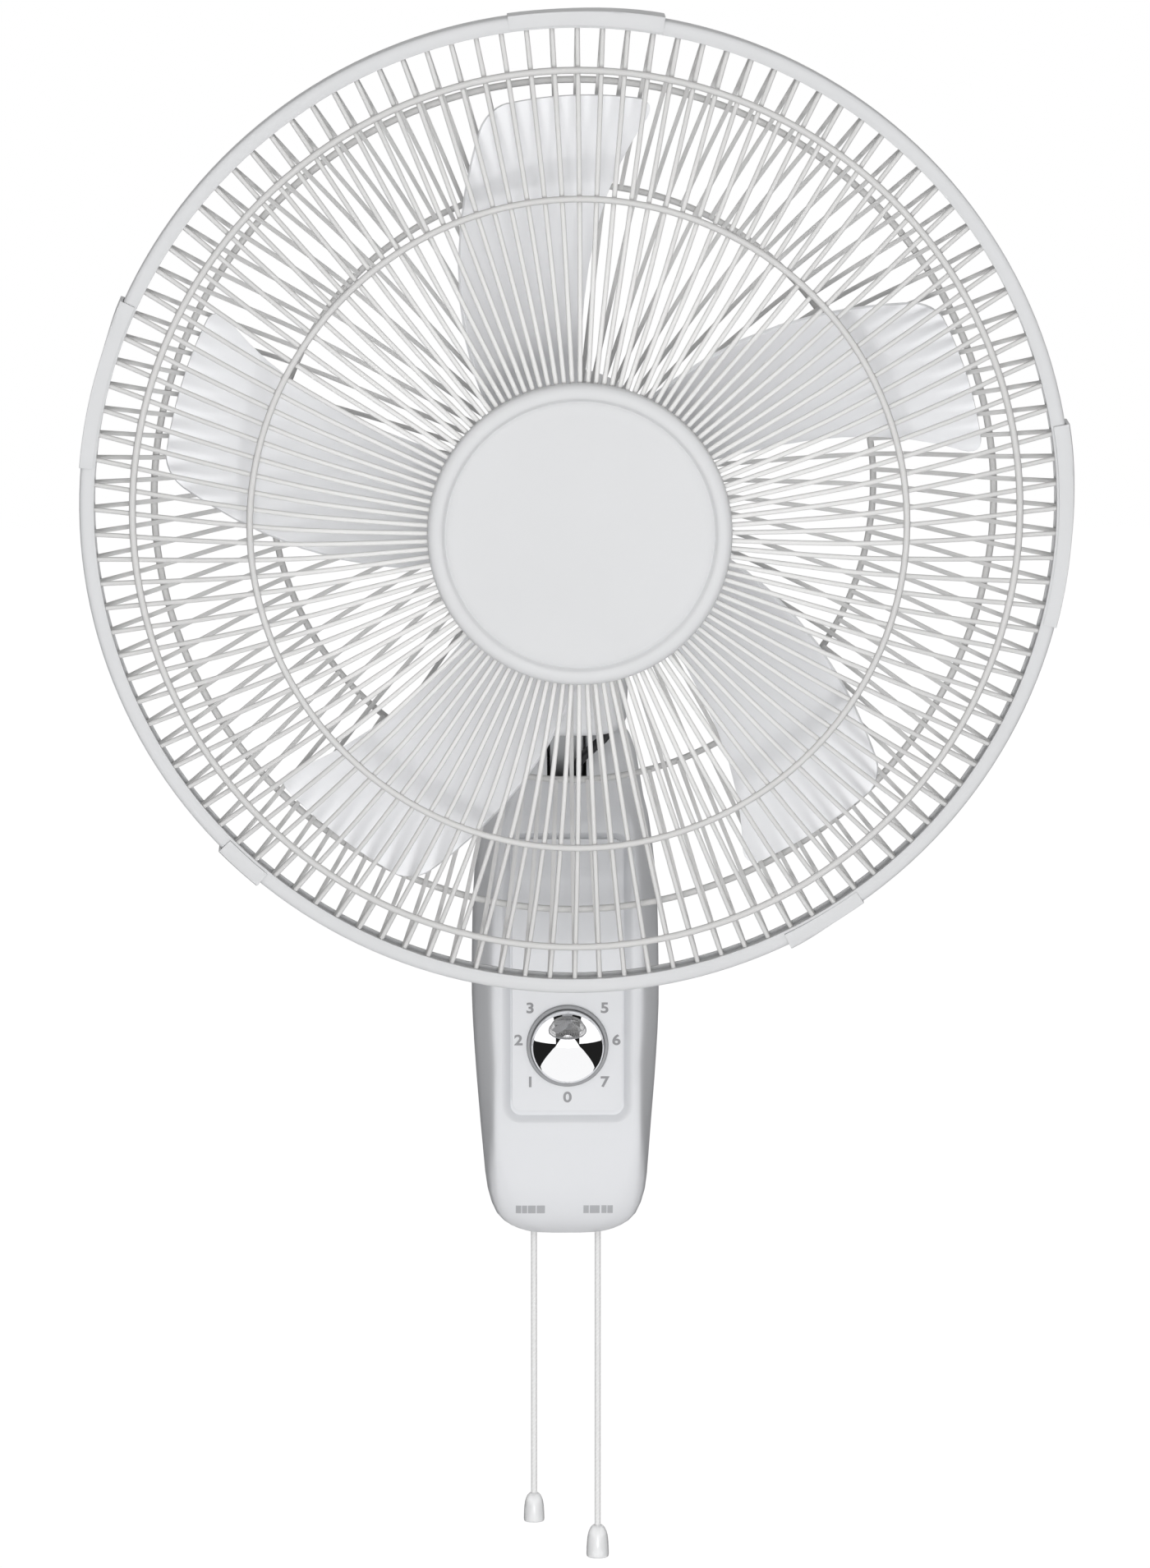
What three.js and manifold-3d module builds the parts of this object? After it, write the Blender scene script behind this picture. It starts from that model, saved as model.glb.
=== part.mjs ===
// A wall fan: a control column that hangs on a steel wall plate, a neck that tilts on a friction
// bolt, and a motor head that swings from side to side with a five-blade rotor in a wire guard.
// Millimetres, +Z up, +X right, the wall is the plane y = 0 and the fan faces -Y.
// The head is drawn about its own origin, where the rotor axis crosses the plane of the guard rim.
import * as THREE from 'three';
import { mergeVertices } from 'three/addons/utils/BufferGeometryUtils.js';
import Module from 'manifold-3d';

const wasm = await Module();
wasm.setup();

// ---------------------------------------------------------------- sizes
const QUARTER = Math.PI / 2;
const SEAT = 0.3; // gap that resting pieces keep
const RUN = 0.3; // radial gap of a turning piece

// Facets
const FINE = 60;
const BROAD = 48;
const WIDE = 28;
const ROUND = 24;
const PLAIN = 16;
const SMALL = 12;

// Wall plate
const PLATE_WIDTH = 64;
const PLATE_HEIGHT = 150;
const PLATE_THICK = 2;
const PLATE_STANDOFF = 7.7; // how far its folded edges reach from the wall
const WALL_HOLE_R = 2.5;
const WALL_HOLE_SPACING = 116;
const HOOK_X = 20;
const HOOK_WIDTH = 10;
const HOOK_Z = 46; // top of the hook's stem, which carries the housing
const HOOK_STEM = 3;
const HOOK_LIP = 8;
const HOOK_LIP_THICK = 2.4;

// Column housing
const COLUMN_BACK = -8;
const COLUMN_FRONT = -94;
const COLUMN_TOP = 120;
const COLUMN_BOTTOM = -126.5;
const COLUMN_HALF = 45; // half the width at its widest
const COLUMN_WALL = 2.5;
const COLUMN_FACE_WALL = 7; // front wall, deep enough for the control plate's pocket
const PARTING_Y = -42; // where front and rear housings meet
const CHEEK_INSET = 12; // how much the front face is narrower than the back, each side
const BACK_CORNER = 3;
const SCREW_PLACES = [[0, 30], [0, -88]]; // x and z of the screws that close the column
const SCREW_R = 1.6;
const SCREW_HEAD_R = 3.2;
const SCREW_BOSS_R = 4;
const SCREW_GRIP = 14; // how far a screw reaches past the parting
const GLAND_R = 4.5;
const GLAND_BORE_R = 3;
const GLAND_Y = -32;

// Tilt hinge
const TILT_Y = -58;
const TILT_Z = 96;
const TILT_CROWN_R = 24; // rounded top of the column about the tilt bolt
const REST_TILT = 6; // degrees that the head looks down in the rest pose
const TURN = THREE.MathUtils.degToRad(REST_TILT);
const HEAD_Y = -260; // middle of the guard's rim in the rest pose
const HEAD_Z = 240;
const SLOT_REAR = -26; // degrees of the crown's slot behind and ahead of upright
const SLOT_FRONT = 82;
const SLOT_STEPS = 6;
const TONGUE_HALF = 8;
const TONGUE_EYE_R = 12;
const WASHER_THICK = 1;
const BRACKET_THICK = 2.5;
const BRACKET_FOOT = 46; // foot of the fork below the bolt
const BRACKET_WEB = 20; // height of its web
const BRACKET_EYE = 11; // metal round the bolt
const BOLT_R = 4;
const BOLT_HEAD_R = 6.5;
const BOLT_HEAD = 4;

// Control plate, timer and knob
const POCKET_WIDTH = 62;
const POCKET_DEPTH = 4;
const POCKET_BOTTOM = -70;
const POCKET_TOP = 74;
const POCKET_R = 8;
const PANEL_MARGIN = 4.2;
const PANEL_THICK = 3.4;
const KNOB_Z = -31;
const KNOB_R = 17.8;
const KNOB_DEPTH = 14;
const BEZEL_R = 19.9;
const BEZEL_DEPTH = 2.4;
const BEZEL_BORE_R = 10;
const TIMER_R = 21;
const TIMER_DEPTH = 28;
const TIMER_BOSS_R = 5;
const TIMER_SHAFT_R = 3;
const TIMER_BORE = 12; // depth of the shaft's bore behind the face wall
const KNOB_BORE = 10;

// Pull cords
const CORD_X = 15.7;
const CORD_Y = -60;
const CORD_R = 1.5;
const CORD_SIDES = 8;
const SPEED_CORD_END = -258;
const SWING_CORD_END = -274.3;
const BELL_LENGTH = 16.4;
const BELL_R = 5.6;
const BELL_NECK_R = 2.6;
const CORD_HOLE_R = 2.2;
const SWITCH_WIDTH = 13;
const SWITCH_HEIGHT = 28;
const SWITCH_FRONT = -79.4;
const SWITCH_BACK = -47;
const SWITCH_Z = -95;

// Capacitor and terminal block on the column's back
const CAPACITOR = { half: 19, depth: 17, low: -18, high: 8 };
const TERMINALS = { half: 15, depth: 13, low: -66, high: -50 };

// Neck and swing drive, heights measured from the rotor axis
const SWING_Y = 150; // swing axis behind the guard rim
const NECK_TOP = -60;
const NECK_BOTTOM = -131;
const NECK_HALF = 30;
const NECK_FRONT = 118;
const NECK_REAR = 192;
const NECK_WALL = 2.5;
const NECK_TAPER = 1.5; // how much narrower its bottom is, each side
const NECK_POINTS = 20; // corners of its outline
const NECK_SQUARENESS = 0.55; // 1 is an ellipse, less is squarer
const LEAD_R = 2.4;
const LEAD_ENTRY = [20, SWING_Y + 2]; // where the motor's lead goes into the neck
const BRIDGE_TOP = -86;
const BRIDGE_THICK = 4;
const FLOOR_THICK = 4;
const FRAME_FRONT = SWING_Y - 10;
const BRIDGE_REAR = SWING_Y + 32;
const FLOOR_REAR = SWING_Y + 36;
const TONGUE_FRONT = FLOOR_REAR - 24; // where the tongue springs from the floor
const TONGUE_REAR = FLOOR_REAR - 6;
const LEG_FRONT = SWING_Y - 6;
const LEG_REAR = SWING_Y + 26;
const SWING_MOTOR_R = 22;
const SWING_MOTOR_THICK = 15;
const POST_R = 4.3;
const BUSH_WALL = 1.9;
const BUSH_HEIGHT = 20;
const ROCKER_REACH = 15; // swing axis to rocker pin
const CRADLE_BORE_TOP = -44;
const CRADLE_HALF = 15;
const CRADLE_LOW = NECK_TOP + 2;
const CRADLE_TOP = -26;
const CRADLE_PAD_R = 12;
const CRANK_REACH = 10.8; // crank shaft to crank pin
const LINK_LENGTH = 24;
const LINK_PIN_R = 1.75;
const PIN_WALL = 2.2; // metal round a pin in an arm's end
const LINK_EYE_WALL = 2; // metal round a pin in the link
const POST_ARM_R = 8; // round end of the rocker at the post
const CRANK_SHAFT_R = 2.5;
const LINK_THICK = 3;
const OPEN_PIVOT_GAP = 2.4; // play at the rocker end of the link
const ARM_THICK = 4;

// Motor, distances measured backwards from the guard rim
const MOTOR_FRONT = 89.3;
const SHIELD_R = 41;
const SHIELD_WALL = 2.5;
const STATOR_FRONT = 109;
const STATOR_LENGTH = 29;
const STATOR_R = 39.5;
const ROTOR_R = 22;
const AIR_GAP = 0.6;
const WINDING_DEPTH = 7;
const WINDING_R = 25;
const WINDING_END_R = 33.5;
const REAR_SHIELD_R = 37.5;
const REAR_SHIELD_END = 161.5;
const BEARING_R = 8;
const BEARING_WIDTH = 8;
const SHAFT_R = 4;
const SHAFT_FRONT = -24;
const MOTOR_BOSS_R = 22;
const MOTOR_BOSS_LENGTH = 15;
const GUARD_NUT_R = 36;
const GUARD_NUT_DEPTH = 9;
const COVER_R = 46;
const COVER_WALL = 2.2;
const COVER_END = 192;
const COLLAR_R = 27;
const VENT_COUNT = 8;
const VENT_WIDTH = 3;
const VENT_DEPTH = 24; // how far the slots run forward from the cover's end
const VENT_INNER = 14; // distance of their inner ends from the rotor axis
const VENT_OUTER = 27;

// Wire guard
const WIRE_COUNT = 120;
const WIRE = 2.4; // wire thickness in the solids
const RING_WIRE = 3.2;
const GUARD_R = 227.2;
const BAND_REACH = 6.8; // how far the band's sides reach inwards
const BAND_WALL = 2;
const BAND_HALF_DEPTH = 7.6;
const EDGE_RING_R = GUARD_R - 4; // the wires' edge ring, inside the band
const EDGE_RING_OFFSET = 2.2;
const FRONT_HUB_R = 60;
const FRONT_HUB = 72;
const FRONT_BEND_R = 124; // where a front wire turns back towards the rim
const FRONT_BEND = 62.5;
const FRONT_SHOULDER_R = GUARD_R - 24.8; // outer welded ring
const FRONT_SHOULDER = 16;
const FRONT_MID_RING_R = 148.3;
const REAR_HUB_R = 42;
const REAR_HUB = -86;
const REAR_MID_RING_R = 141;
const REAR_MID = -65;
const REAR_SHOULDER_R = GUARD_R - 33.2;
const REAR_SHOULDER = -21;
const HUB_PLATE_THICK = 1.5;
const CLIP_WALL = 1.6;
const CLIP_STEP = 5; // degrees to one facet of a clip
const CLIPS = [[80, 18], [-14, 24], [155, 20], [224, 6], [296, 10]]; // start and span of each, in degrees
const CAP_R = 68.4;
const CAP_FRONT = 79.4;
const CAP_GROOVE_R = 60.3;
const CAP_SKIRT_R = 55.7;
const HUB_RING_R = 62;
const HUB_RING_THICK = 2;

// Rotor
const BLADE_COUNT = 5;
const BLADE_R = 189;
const BLADE_THICK = 2;
const BLADE_ROOT = 1.5; // how far a blade is sunk into the hub's wall
const BLADE_TIP = 4; // length of the tip with its cut corners
const BLADE_CORNER = 2.2; // degrees that the tip's corners are drawn in
const BLADE_BENDS = [0.15, 0.38, 0.66]; // shares of a blade's length where it is shaped
const BLADE_RISE = 48; // height of a blade's slant at the hub
const BLADE_RISE_TIP = 24;
const BLADE_RISE_ROOT = 28; // what of the slant fits on the hub's wall
const BLADE_SINK = 12; // how far a blade's root lies behind its middle
const BLADE_FILLET = 30; // length over which it comes forward
const BLADE_CAMBER = 5;
const HUB_R = 45;
const HUB_FRONT = 8; // ahead of the guard rim
const HUB_DEPTH = 46;
const HUB_WALL = 2.5;
const HUB_BOSS_R = 9;
const SPINNER_R = 16;
const SPINNER_DEPTH = 22;
const DRIVE_PIN_R = 1.5;

// ---------------------------------------------------------------- shape helpers

/** Merges a geometry's points, drops its collapsed triangles and turns its faces outwards. */
function tidy(geometry) {
  const bare = new THREE.BufferGeometry();
  bare.setAttribute('position', geometry.getAttribute('position'));
  if (geometry.index) bare.setIndex(geometry.index);
  const merged = mergeVertices(bare, 1e-4);
  const place = merged.getAttribute('position');
  const corners = [0, 1, 2].map(() => new THREE.Vector3());
  const faces = [];
  let volume = 0;
  for (let i = 0; i < merged.index.count; i += 3) {
    const face = [0, 1, 2].map((k) => merged.index.getX(i + k));
    if (face[0] === face[1] || face[1] === face[2] || face[2] === face[0]) continue;
    face.forEach((vertex, k) => corners[k].fromBufferAttribute(place, vertex));
    volume += corners[0].dot(corners[1].clone().cross(corners[2]));
    faces.push(face);
  }
  const outward = volume > 0 ? faces : faces.map(([a, b, c]) => [a, c, b]);
  merged.setIndex(outward.flat());
  return merged;
}

/** A closed geometry as a solid that can be joined and cut. */
function solidOf(geometry) {
  const closed = tidy(geometry);
  return new wasm.Manifold(new wasm.Mesh({
    numProp: 3,
    vertProperties: new Float32Array(closed.getAttribute('position').array),
    triVerts: new Uint32Array(closed.index.array),
  }));
}

/** The triangles of a solid as a geometry. */
function geometryOf(solid) {
  const mesh = solid.getMesh();
  const geometry = new THREE.BufferGeometry();
  geometry.setAttribute('position', new THREE.BufferAttribute(new Float32Array(mesh.vertProperties), 3));
  geometry.setIndex(Array.from(mesh.triVerts));
  return geometry;
}

/** The first geometry with the others taken away. */
function cut(base, ...tools) {
  return geometryOf(tools.reduce((solid, tool) => solid.subtract(solidOf(tool)), solidOf(base)));
}

/** Several overlapping geometries joined into one. */
function join(base, ...extras) {
  return geometryOf(extras.reduce((solid, extra) => solid.add(solidOf(extra)), solidOf(base)));
}

/** What two geometries share. */
function common(base, other) {
  return geometryOf(solidOf(base).intersect(solidOf(other)));
}

/** A box between two corners. */
function box(low, high) {
  const size = high.map((value, k) => value - low[k]);
  const middle = high.map((value, k) => (value + low[k]) / 2);
  return new THREE.BoxGeometry(...size).translate(...middle);
}

/** A body turned about the Y axis from [radius, y] points, on the axis or closed on themselves. */
function turned(profile, segments = ROUND) {
  const points = profile.map(([radius, y]) => new THREE.Vector2(radius, y));
  const onAxis = profile[0][0] === 0 && profile[profile.length - 1][0] === 0;
  if (!onAxis) points.push(points[0].clone());
  return tidy(new THREE.LatheGeometry(points, segments));
}

/** A ring about the Y axis between two radii and two places. */
function ring(inner, outer, from, to, segments = ROUND) {
  return turned([[inner, from], [outer, from], [outer, to], [inner, to]], segments);
}

/** A round bar along Y. */
function barY(radius, from, to, segments = SMALL) {
  return turned([[0, from], [radius, from], [radius, to], [0, to]], segments);
}

/** A round bar along Z. */
function barZ(radius, from, to, segments = SMALL) {
  return barY(radius, -to, -from, segments).rotateX(-QUARTER);
}

/** A round bar along X. */
function barX(radius, from, to, segments = SMALL) {
  return barY(radius, -to, -from, segments).rotateZ(QUARTER);
}

/** A tube along Z. */
function tubeZ(inner, outer, from, to, segments = SMALL) {
  return ring(inner, outer, -to, -from, segments).rotateX(-QUARTER);
}

/** A tube along X. */
function tubeX(inner, outer, from, to, segments = SMALL) {
  return ring(inner, outer, -to, -from, segments).rotateZ(QUARTER);
}

/** An outline of [y, z] points pushed along X. */
function slabX(outline, from, to) {
  const shape = new THREE.Shape(outline.map(([y, z]) => new THREE.Vector2(y, z)));
  const slab = new THREE.ExtrudeGeometry(shape, { depth: to - from, bevelEnabled: false });
  slab.applyMatrix4(new THREE.Matrix4().set(0, 0, 1, from, 1, 0, 0, 0, 0, 1, 0, 0, 0, 0, 0, 1));
  return slab;
}

/** A shape drawn in x and z, pushed along Y. */
function slabY(shape, from, to) {
  const slab = new THREE.ExtrudeGeometry(shape, { depth: to - from, bevelEnabled: false, curveSegments: 4 });
  slab.applyMatrix4(new THREE.Matrix4().set(1, 0, 0, 0, 0, 0, 1, from, 0, 1, 0, 0, 0, 0, 0, 1));
  return slab;
}

/** A shape drawn in x and y, pushed along Z. */
function slabZ(shape, from, to, curveSegments = 4) {
  const slab = new THREE.ExtrudeGeometry(shape, { depth: to - from, bevelEnabled: false, curveSegments });
  return slab.translate(0, 0, from);
}

/** A rectangle with round corners. */
function roundedRectangle(left, right, low, high, radius) {
  const shape = new THREE.Shape();
  shape.moveTo(left + radius, low);
  shape.absarc(right - radius, low + radius, radius, -QUARTER, 0);
  shape.absarc(right - radius, high - radius, radius, 0, QUARTER);
  shape.absarc(left + radius, high - radius, radius, QUARTER, 2 * QUARTER);
  shape.absarc(left + radius, low + radius, radius, 2 * QUARTER, 3 * QUARTER);
  return shape;
}

/** A bar with round ends between two points of the x-y plane. */
function roundedBar(from, to, radiusFrom, radiusTo) {
  const shape = new THREE.Shape();
  const turn = Math.atan2(to[1] - from[1], to[0] - from[0]);
  shape.absarc(to[0], to[1], radiusTo, turn - QUARTER, turn + QUARTER);
  shape.absarc(from[0], from[1], radiusFrom, turn + QUARTER, turn + 3 * QUARTER);
  return shape;
}

/** Triangles that fill a flat outline, wound the way the outline is. */
function fill(outline) {
  const flat = outline.map(([u, v]) => new THREE.Vector2(u, v));
  const faces = THREE.ShapeUtils.triangulateShape(flat, []);
  return THREE.ShapeUtils.isClockWise(flat) ? faces.map(([a, b, c]) => [a, c, b]) : faces;
}

/** Joins stacked closed outlines, each with as many points, into one body. */
function loft(levels) {
  const count = levels[0].length;
  const faces = [];
  for (let level = 0; level < levels.length - 1; level += 1) {
    for (let k = 0; k < count; k += 1) {
      const next = (k + 1) % count;
      const low = level * count;
      const high = low + count;
      faces.push([low + k, low + next, high + next], [low + k, high + next, high + k]);
    }
  }
  const top = (levels.length - 1) * count;
  fill(levels[0]).forEach(([a, b, c]) => faces.push([a, c, b]));
  fill(levels[levels.length - 1]).forEach(([a, b, c]) => faces.push([top + a, top + b, top + c]));
  return fromFaces(levels.flat(), faces);
}

/** A geometry from points and triangles. */
function fromFaces(points, faces) {
  const geometry = new THREE.BufferGeometry();
  geometry.setAttribute('position', new THREE.Float32BufferAttribute(points.flat(), 3));
  geometry.setIndex(faces.flat());
  return tidy(geometry);
}

/** A section of [radius, y] points swept round the Y axis between two angles, in degrees. */
function arcBody(section, start, span, steps) {
  const points = [];
  const faces = [];
  const count = section.length;
  for (let step = 0; step <= steps; step += 1) {
    const angle = THREE.MathUtils.degToRad(start + span * step / steps);
    section.forEach(([radius, y]) => points.push([radius * Math.cos(angle), y, radius * Math.sin(angle)]));
  }
  for (let step = 0; step < steps; step += 1) {
    for (let k = 0; k < count; k += 1) {
      const next = (k + 1) % count;
      const here = step * count;
      const there = here + count;
      faces.push([here + k, here + next, there + next], [here + k, there + next, there + k]);
    }
  }
  const end = steps * count;
  fill(section).forEach(([a, b, c]) => faces.push([a, c, b], [end + a, end + b, end + c]));
  return fromFaces(points, faces);
}

/** A round tube of few sides along a smooth curve through points. */
function tube(points, radius, sides, steps) {
  const section = new THREE.Shape();
  for (let k = 0; k < sides; k += 1) {
    const angle = 4 * QUARTER * k / sides;
    const corner = [radius * Math.cos(angle), radius * Math.sin(angle)];
    if (k === 0) section.moveTo(...corner);
    else section.lineTo(...corner);
  }
  const path = new THREE.CatmullRomCurve3(points.map((point) => new THREE.Vector3(...point)));
  return new THREE.ExtrudeGeometry(section, { steps, extrudePath: path, bevelEnabled: false });
}

// ---------------------------------------------------------------- wire guard

/**
 * One wire grille: wires in planes through the rotor axis, welded to one edge ring.
 * Stations are [radius, forward] places of the wires, the last one on the edge ring.
 * first(wire) gives the station where that wire starts.
 */
function grille(stations, first) {
  const points = [];
  const faces = [];
  const half = WIRE / 2;
  const last = stations.length - 1;
  const direction = (from, to) => new THREE.Vector2(...to).sub(new THREE.Vector2(...from)).normalize();
  const quad = (a, b, c, d) => faces.push([a, b, c], [a, c, d]);
  const side = (from, to, k) => quad(from + k, to + k, to + (k + 1) % 3, from + (k + 1) % 3);
  const ends = [];
  for (let wire = 0; wire < WIRE_COUNT; wire += 1) {
    const angle = 4 * QUARTER * wire / WIRE_COUNT;
    const outward = [Math.cos(angle), Math.sin(angle)];
    const corner = (radius, forward, side) => {
      const x = radius * outward[0] - side * half * outward[1];
      const z = radius * outward[1] + side * half * outward[0];
      points.push([x, -forward, z]);
    };
    const section = (place, normal) => {
      corner(place[0] + normal.x * half, place[1] + normal.y * half, -1);
      corner(place[0] + normal.x * half, place[1] + normal.y * half, 1);
      corner(place[0] - normal.x * half, place[1] - normal.y * half, 0);
      return points.length - 3;
    };
    const start = first(wire);
    let previous = null;
    for (let station = start; station <= last; station += 1) {
      const here = stations[station];
      const before = direction(stations[Math.max(station - 1, start)], stations[Math.max(station, start + 1)]);
      const after = direction(stations[Math.min(station, last - 1)], stations[Math.min(station + 1, last)]);
      const along = before.add(after).normalize();
      const edge = station === last;
      const normal = edge ? new THREE.Vector2(0, 1) : new THREE.Vector2(-along.y, along.x);
      const corners = section(edge ? [here[0] - half, here[1]] : here, normal);
      const from = previous;
      if (from === null) faces.push([corners, corners + 1, corners + 2]);
      else [0, 1, 2].forEach((k) => side(from, corners, k));
      previous = corners;
    }
    corner(stations[last][0] + half, stations[last][1], 0);
    ends.push(previous);
  }
  ends.forEach((here, wire) => {
    const next = ends[(wire + 1) % WIRE_COUNT];
    const [crest, nextCrest] = [here + 3, next + 3];
    faces.push([here + 1, here, crest]);
    quad(here + 1, crest, nextCrest, next);
    quad(nextCrest, crest, here + 2, next + 2);
    quad(here + 1, next, next + 2, here + 2);
  });
  return fromFaces(points, faces);
}

const FRONT_STATIONS = [
  [FRONT_HUB_R, FRONT_HUB],
  [FRONT_BEND_R, FRONT_BEND],
  [FRONT_SHOULDER_R, FRONT_SHOULDER],
  [EDGE_RING_R, EDGE_RING_OFFSET],
];
const REAR_STATIONS = [
  [REAR_HUB_R, REAR_HUB],
  [REAR_MID_RING_R, REAR_MID],
  [REAR_SHOULDER_R, REAR_SHOULDER],
  [EDGE_RING_R, -EDGE_RING_OFFSET],
];

/** Where a grille's wires stand, forward of the rim, at a radius. */
function wireForward(stations, radius) {
  const end = stations.findIndex(([r]) => r >= radius);
  const [r0, f0] = stations[end - 1];
  const [r1, f1] = stations[end];
  return f0 + (f1 - f0) * (radius - r0) / (r1 - r0);
}

/** A wire ring that lies on the outside of a grille, side +1 in front and -1 behind. */
function weldedRing(stations, radius, side, segments) {
  const half = RING_WIRE / 2;
  const slope = wireForward(stations, radius) - wireForward(stations, radius - 1);
  const clear = WIRE / 2 * Math.hypot(1, slope) + SEAT;
  const face = -(wireForward(stations, radius - half) + side * clear);
  return turned([[radius - half, face], [radius, face - side * RING_WIRE], [radius + half, face]], segments);
}

/** The band that clamps both grilles' edge rings, open towards the rotor axis. */
function rimBand() {
  const inner = GUARD_R - BAND_REACH;
  const floor = GUARD_R - BAND_WALL;
  const side = BAND_HALF_DEPTH - BAND_WALL;
  return turned([[inner, -BAND_HALF_DEPTH], [GUARD_R - 1, -BAND_HALF_DEPTH], [GUARD_R, 1 - BAND_HALF_DEPTH],
    [GUARD_R, BAND_HALF_DEPTH], [inner, BAND_HALF_DEPTH], [inner, side], [floor, side],
    [floor, -side], [inner, -side]], BROAD);
}

/** A clip that grips the band from outside, from one angle over a span, in degrees. */
function rimClip(start, span) {
  const inner = GUARD_R + SEAT;
  const outer = inner + CLIP_WALL;
  const face = BAND_HALF_DEPTH + SEAT;
  const side = face + CLIP_WALL;
  const lip = GUARD_R - BAND_REACH + 1;
  const section = [[lip, -side], [outer - 1.5, -side], [outer, -1], [outer, 1], [outer - 1.5, side],
    [lip, side], [lip, face], [inner, face], [inner, -face], [lip, -face]];
  return arcBody(section, start, span, Math.max(2, Math.round(span / CLIP_STEP)));
}

/** The plain disc in the middle of the front grille, with a raised border and a snap skirt. */
function centreCap() {
  const back = FRONT_HUB + WIRE / 2 + SEAT;
  const skirtEnd = FRONT_HUB - WIRE / 2 - HUB_RING_THICK - SEAT;
  const border = CAP_FRONT;
  const field = CAP_FRONT - 1.4;
  return turned([
    [0, -field], [CAP_GROOVE_R - 1, -field], [CAP_GROOVE_R, -field + 0.8], [CAP_GROOVE_R + 1.6, -border],
    [CAP_R - 2.4, -border], [CAP_R, -border + 2.4], [CAP_R, -back], [CAP_SKIRT_R, -back],
    [CAP_SKIRT_R, -skirtEnd], [CAP_SKIRT_R - 2.2, -skirtEnd], [CAP_SKIRT_R - 2.2, -back], [0, -back],
  ], BROAD);
}

/** The ring behind the front wires' inner ends, round the cap's skirt. */
function frontHubRing() {
  const face = -(FRONT_HUB - WIRE / 2 - SEAT * 2);
  return ring(CAP_SKIRT_R + SEAT, HUB_RING_R, face, face + HUB_RING_THICK, BROAD);
}

/** The pressed ring that carries the rear wires' inner ends on the motor's boss. */
function rearHubPlate() {
  const face = -REAR_HUB + WIRE / 2 + SEAT;
  return ring(MOTOR_BOSS_R + SEAT, REAR_HUB_R + 2.5, face, face + HUB_PLATE_THICK, WIDE);
}

/** The plastic ring nut that holds the rear grille. */
function guardNut() {
  const face = -REAR_HUB + WIRE / 2;
  return turned([[MOTOR_BOSS_R + SEAT, face], [GUARD_NUT_R, face], [GUARD_NUT_R, face - 3],
    [GUARD_NUT_R - 4, face - GUARD_NUT_DEPTH], [MOTOR_BOSS_R + SEAT, face - GUARD_NUT_DEPTH]], ROUND);
}

// ---------------------------------------------------------------- rotor

/** Angles of a blade's two long edges at a radius, in degrees. */
function bladeEdges(radius) {
  const t = (radius - HUB_R) / (BLADE_R - HUB_R);
  const low = 16 + 3.5 * t - 13 * t * t;
  const high = 62 - 36 * t + 4.5 * t * t;
  return [low, high];
}

/** One blade, from inside the hub's wall to its tip, wide and twisted. */
function blade() {
  const length = BLADE_R - HUB_R;
  const bends = BLADE_BENDS.map((share) => HUB_R + share * length);
  const spans = [HUB_R - BLADE_ROOT, ...bends, BLADE_R - BLADE_TIP, BLADE_R];
  const chords = [0, 0.25, 0.5, 0.75, 1];
  const points = [];
  for (const side of [1, -1]) {
    for (const radius of spans) {
      const [low, high] = bladeEdges(radius);
      const t = (radius - HUB_R) / length;
      const slant = BLADE_RISE + (BLADE_RISE_TIP - BLADE_RISE) * t;
      const rise = Math.min(slant, BLADE_RISE_ROOT + (radius - HUB_R) * 0.6);
      const middle = -BLADE_SINK * Math.max(0, 1 - (radius - HUB_R) / BLADE_FILLET);
      const corner = radius === BLADE_R ? BLADE_CORNER : 0;
      for (const c of chords) {
        const angle = THREE.MathUtils.degToRad(low + corner + c * (high - low - 2 * corner));
        const camber = BLADE_CAMBER * (1 - t * 0.5) * 4 * c * (1 - c);
        const forward = middle + (c - 0.5) * rise - camber + side * BLADE_THICK / 2;
        points.push([radius * Math.cos(angle), -forward, radius * Math.sin(angle)]);
      }
    }
  }
  return fromFaces(points, plateFaces(spans.length, chords.length));
}

/** Triangles of a plate whose upper and lower grids of points follow each other. */
function plateFaces(rows, columns) {
  const faces = [];
  const lower = rows * columns;
  const at = (row, column) => row * columns + column;
  for (let row = 0; row < rows - 1; row += 1) {
    for (let column = 0; column < columns - 1; column += 1) {
      const [a, b] = [at(row, column), at(row, column + 1)];
      const [c, d] = [at(row + 1, column + 1), at(row + 1, column)];
      faces.push([a, b, c], [a, c, d], [lower + a, lower + c, lower + b], [lower + a, lower + d, lower + c]);
    }
  }
  const rim = [];
  for (let column = 0; column < columns - 1; column += 1) rim.push(at(0, column));
  for (let row = 0; row < rows - 1; row += 1) rim.push(at(row, columns - 1));
  for (let column = columns - 1; column > 0; column -= 1) rim.push(at(rows - 1, column));
  for (let row = rows - 1; row > 0; row -= 1) rim.push(at(row, 0));
  rim.forEach((here, k) => {
    const next = rim[(k + 1) % rim.length];
    faces.push([here, lower + next, next], [here, lower + here, lower + next]);
  });
  return faces;
}

/** The moulded rotor: a hub cup with a boss, and five swept blades. */
function fanBlade() {
  const front = -HUB_FRONT;
  const rear = front + HUB_DEPTH;
  const hub = turned([
    [SHAFT_R + SEAT, front], [HUB_R - 3, front], [HUB_R, front + 4], [HUB_R, rear],
    [HUB_R - HUB_WALL, rear], [HUB_R - HUB_WALL, front + HUB_WALL + 2],
    [HUB_BOSS_R, front + HUB_WALL], [HUB_BOSS_R, rear - 3],
    [SHAFT_R + SEAT, rear - 3],
  ], ROUND);
  const blades = [];
  for (let k = 0; k < BLADE_COUNT; k += 1) blades.push(blade().rotateY(-k * 4 * QUARTER / BLADE_COUNT));
  return join(hub, ...blades);
}

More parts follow.
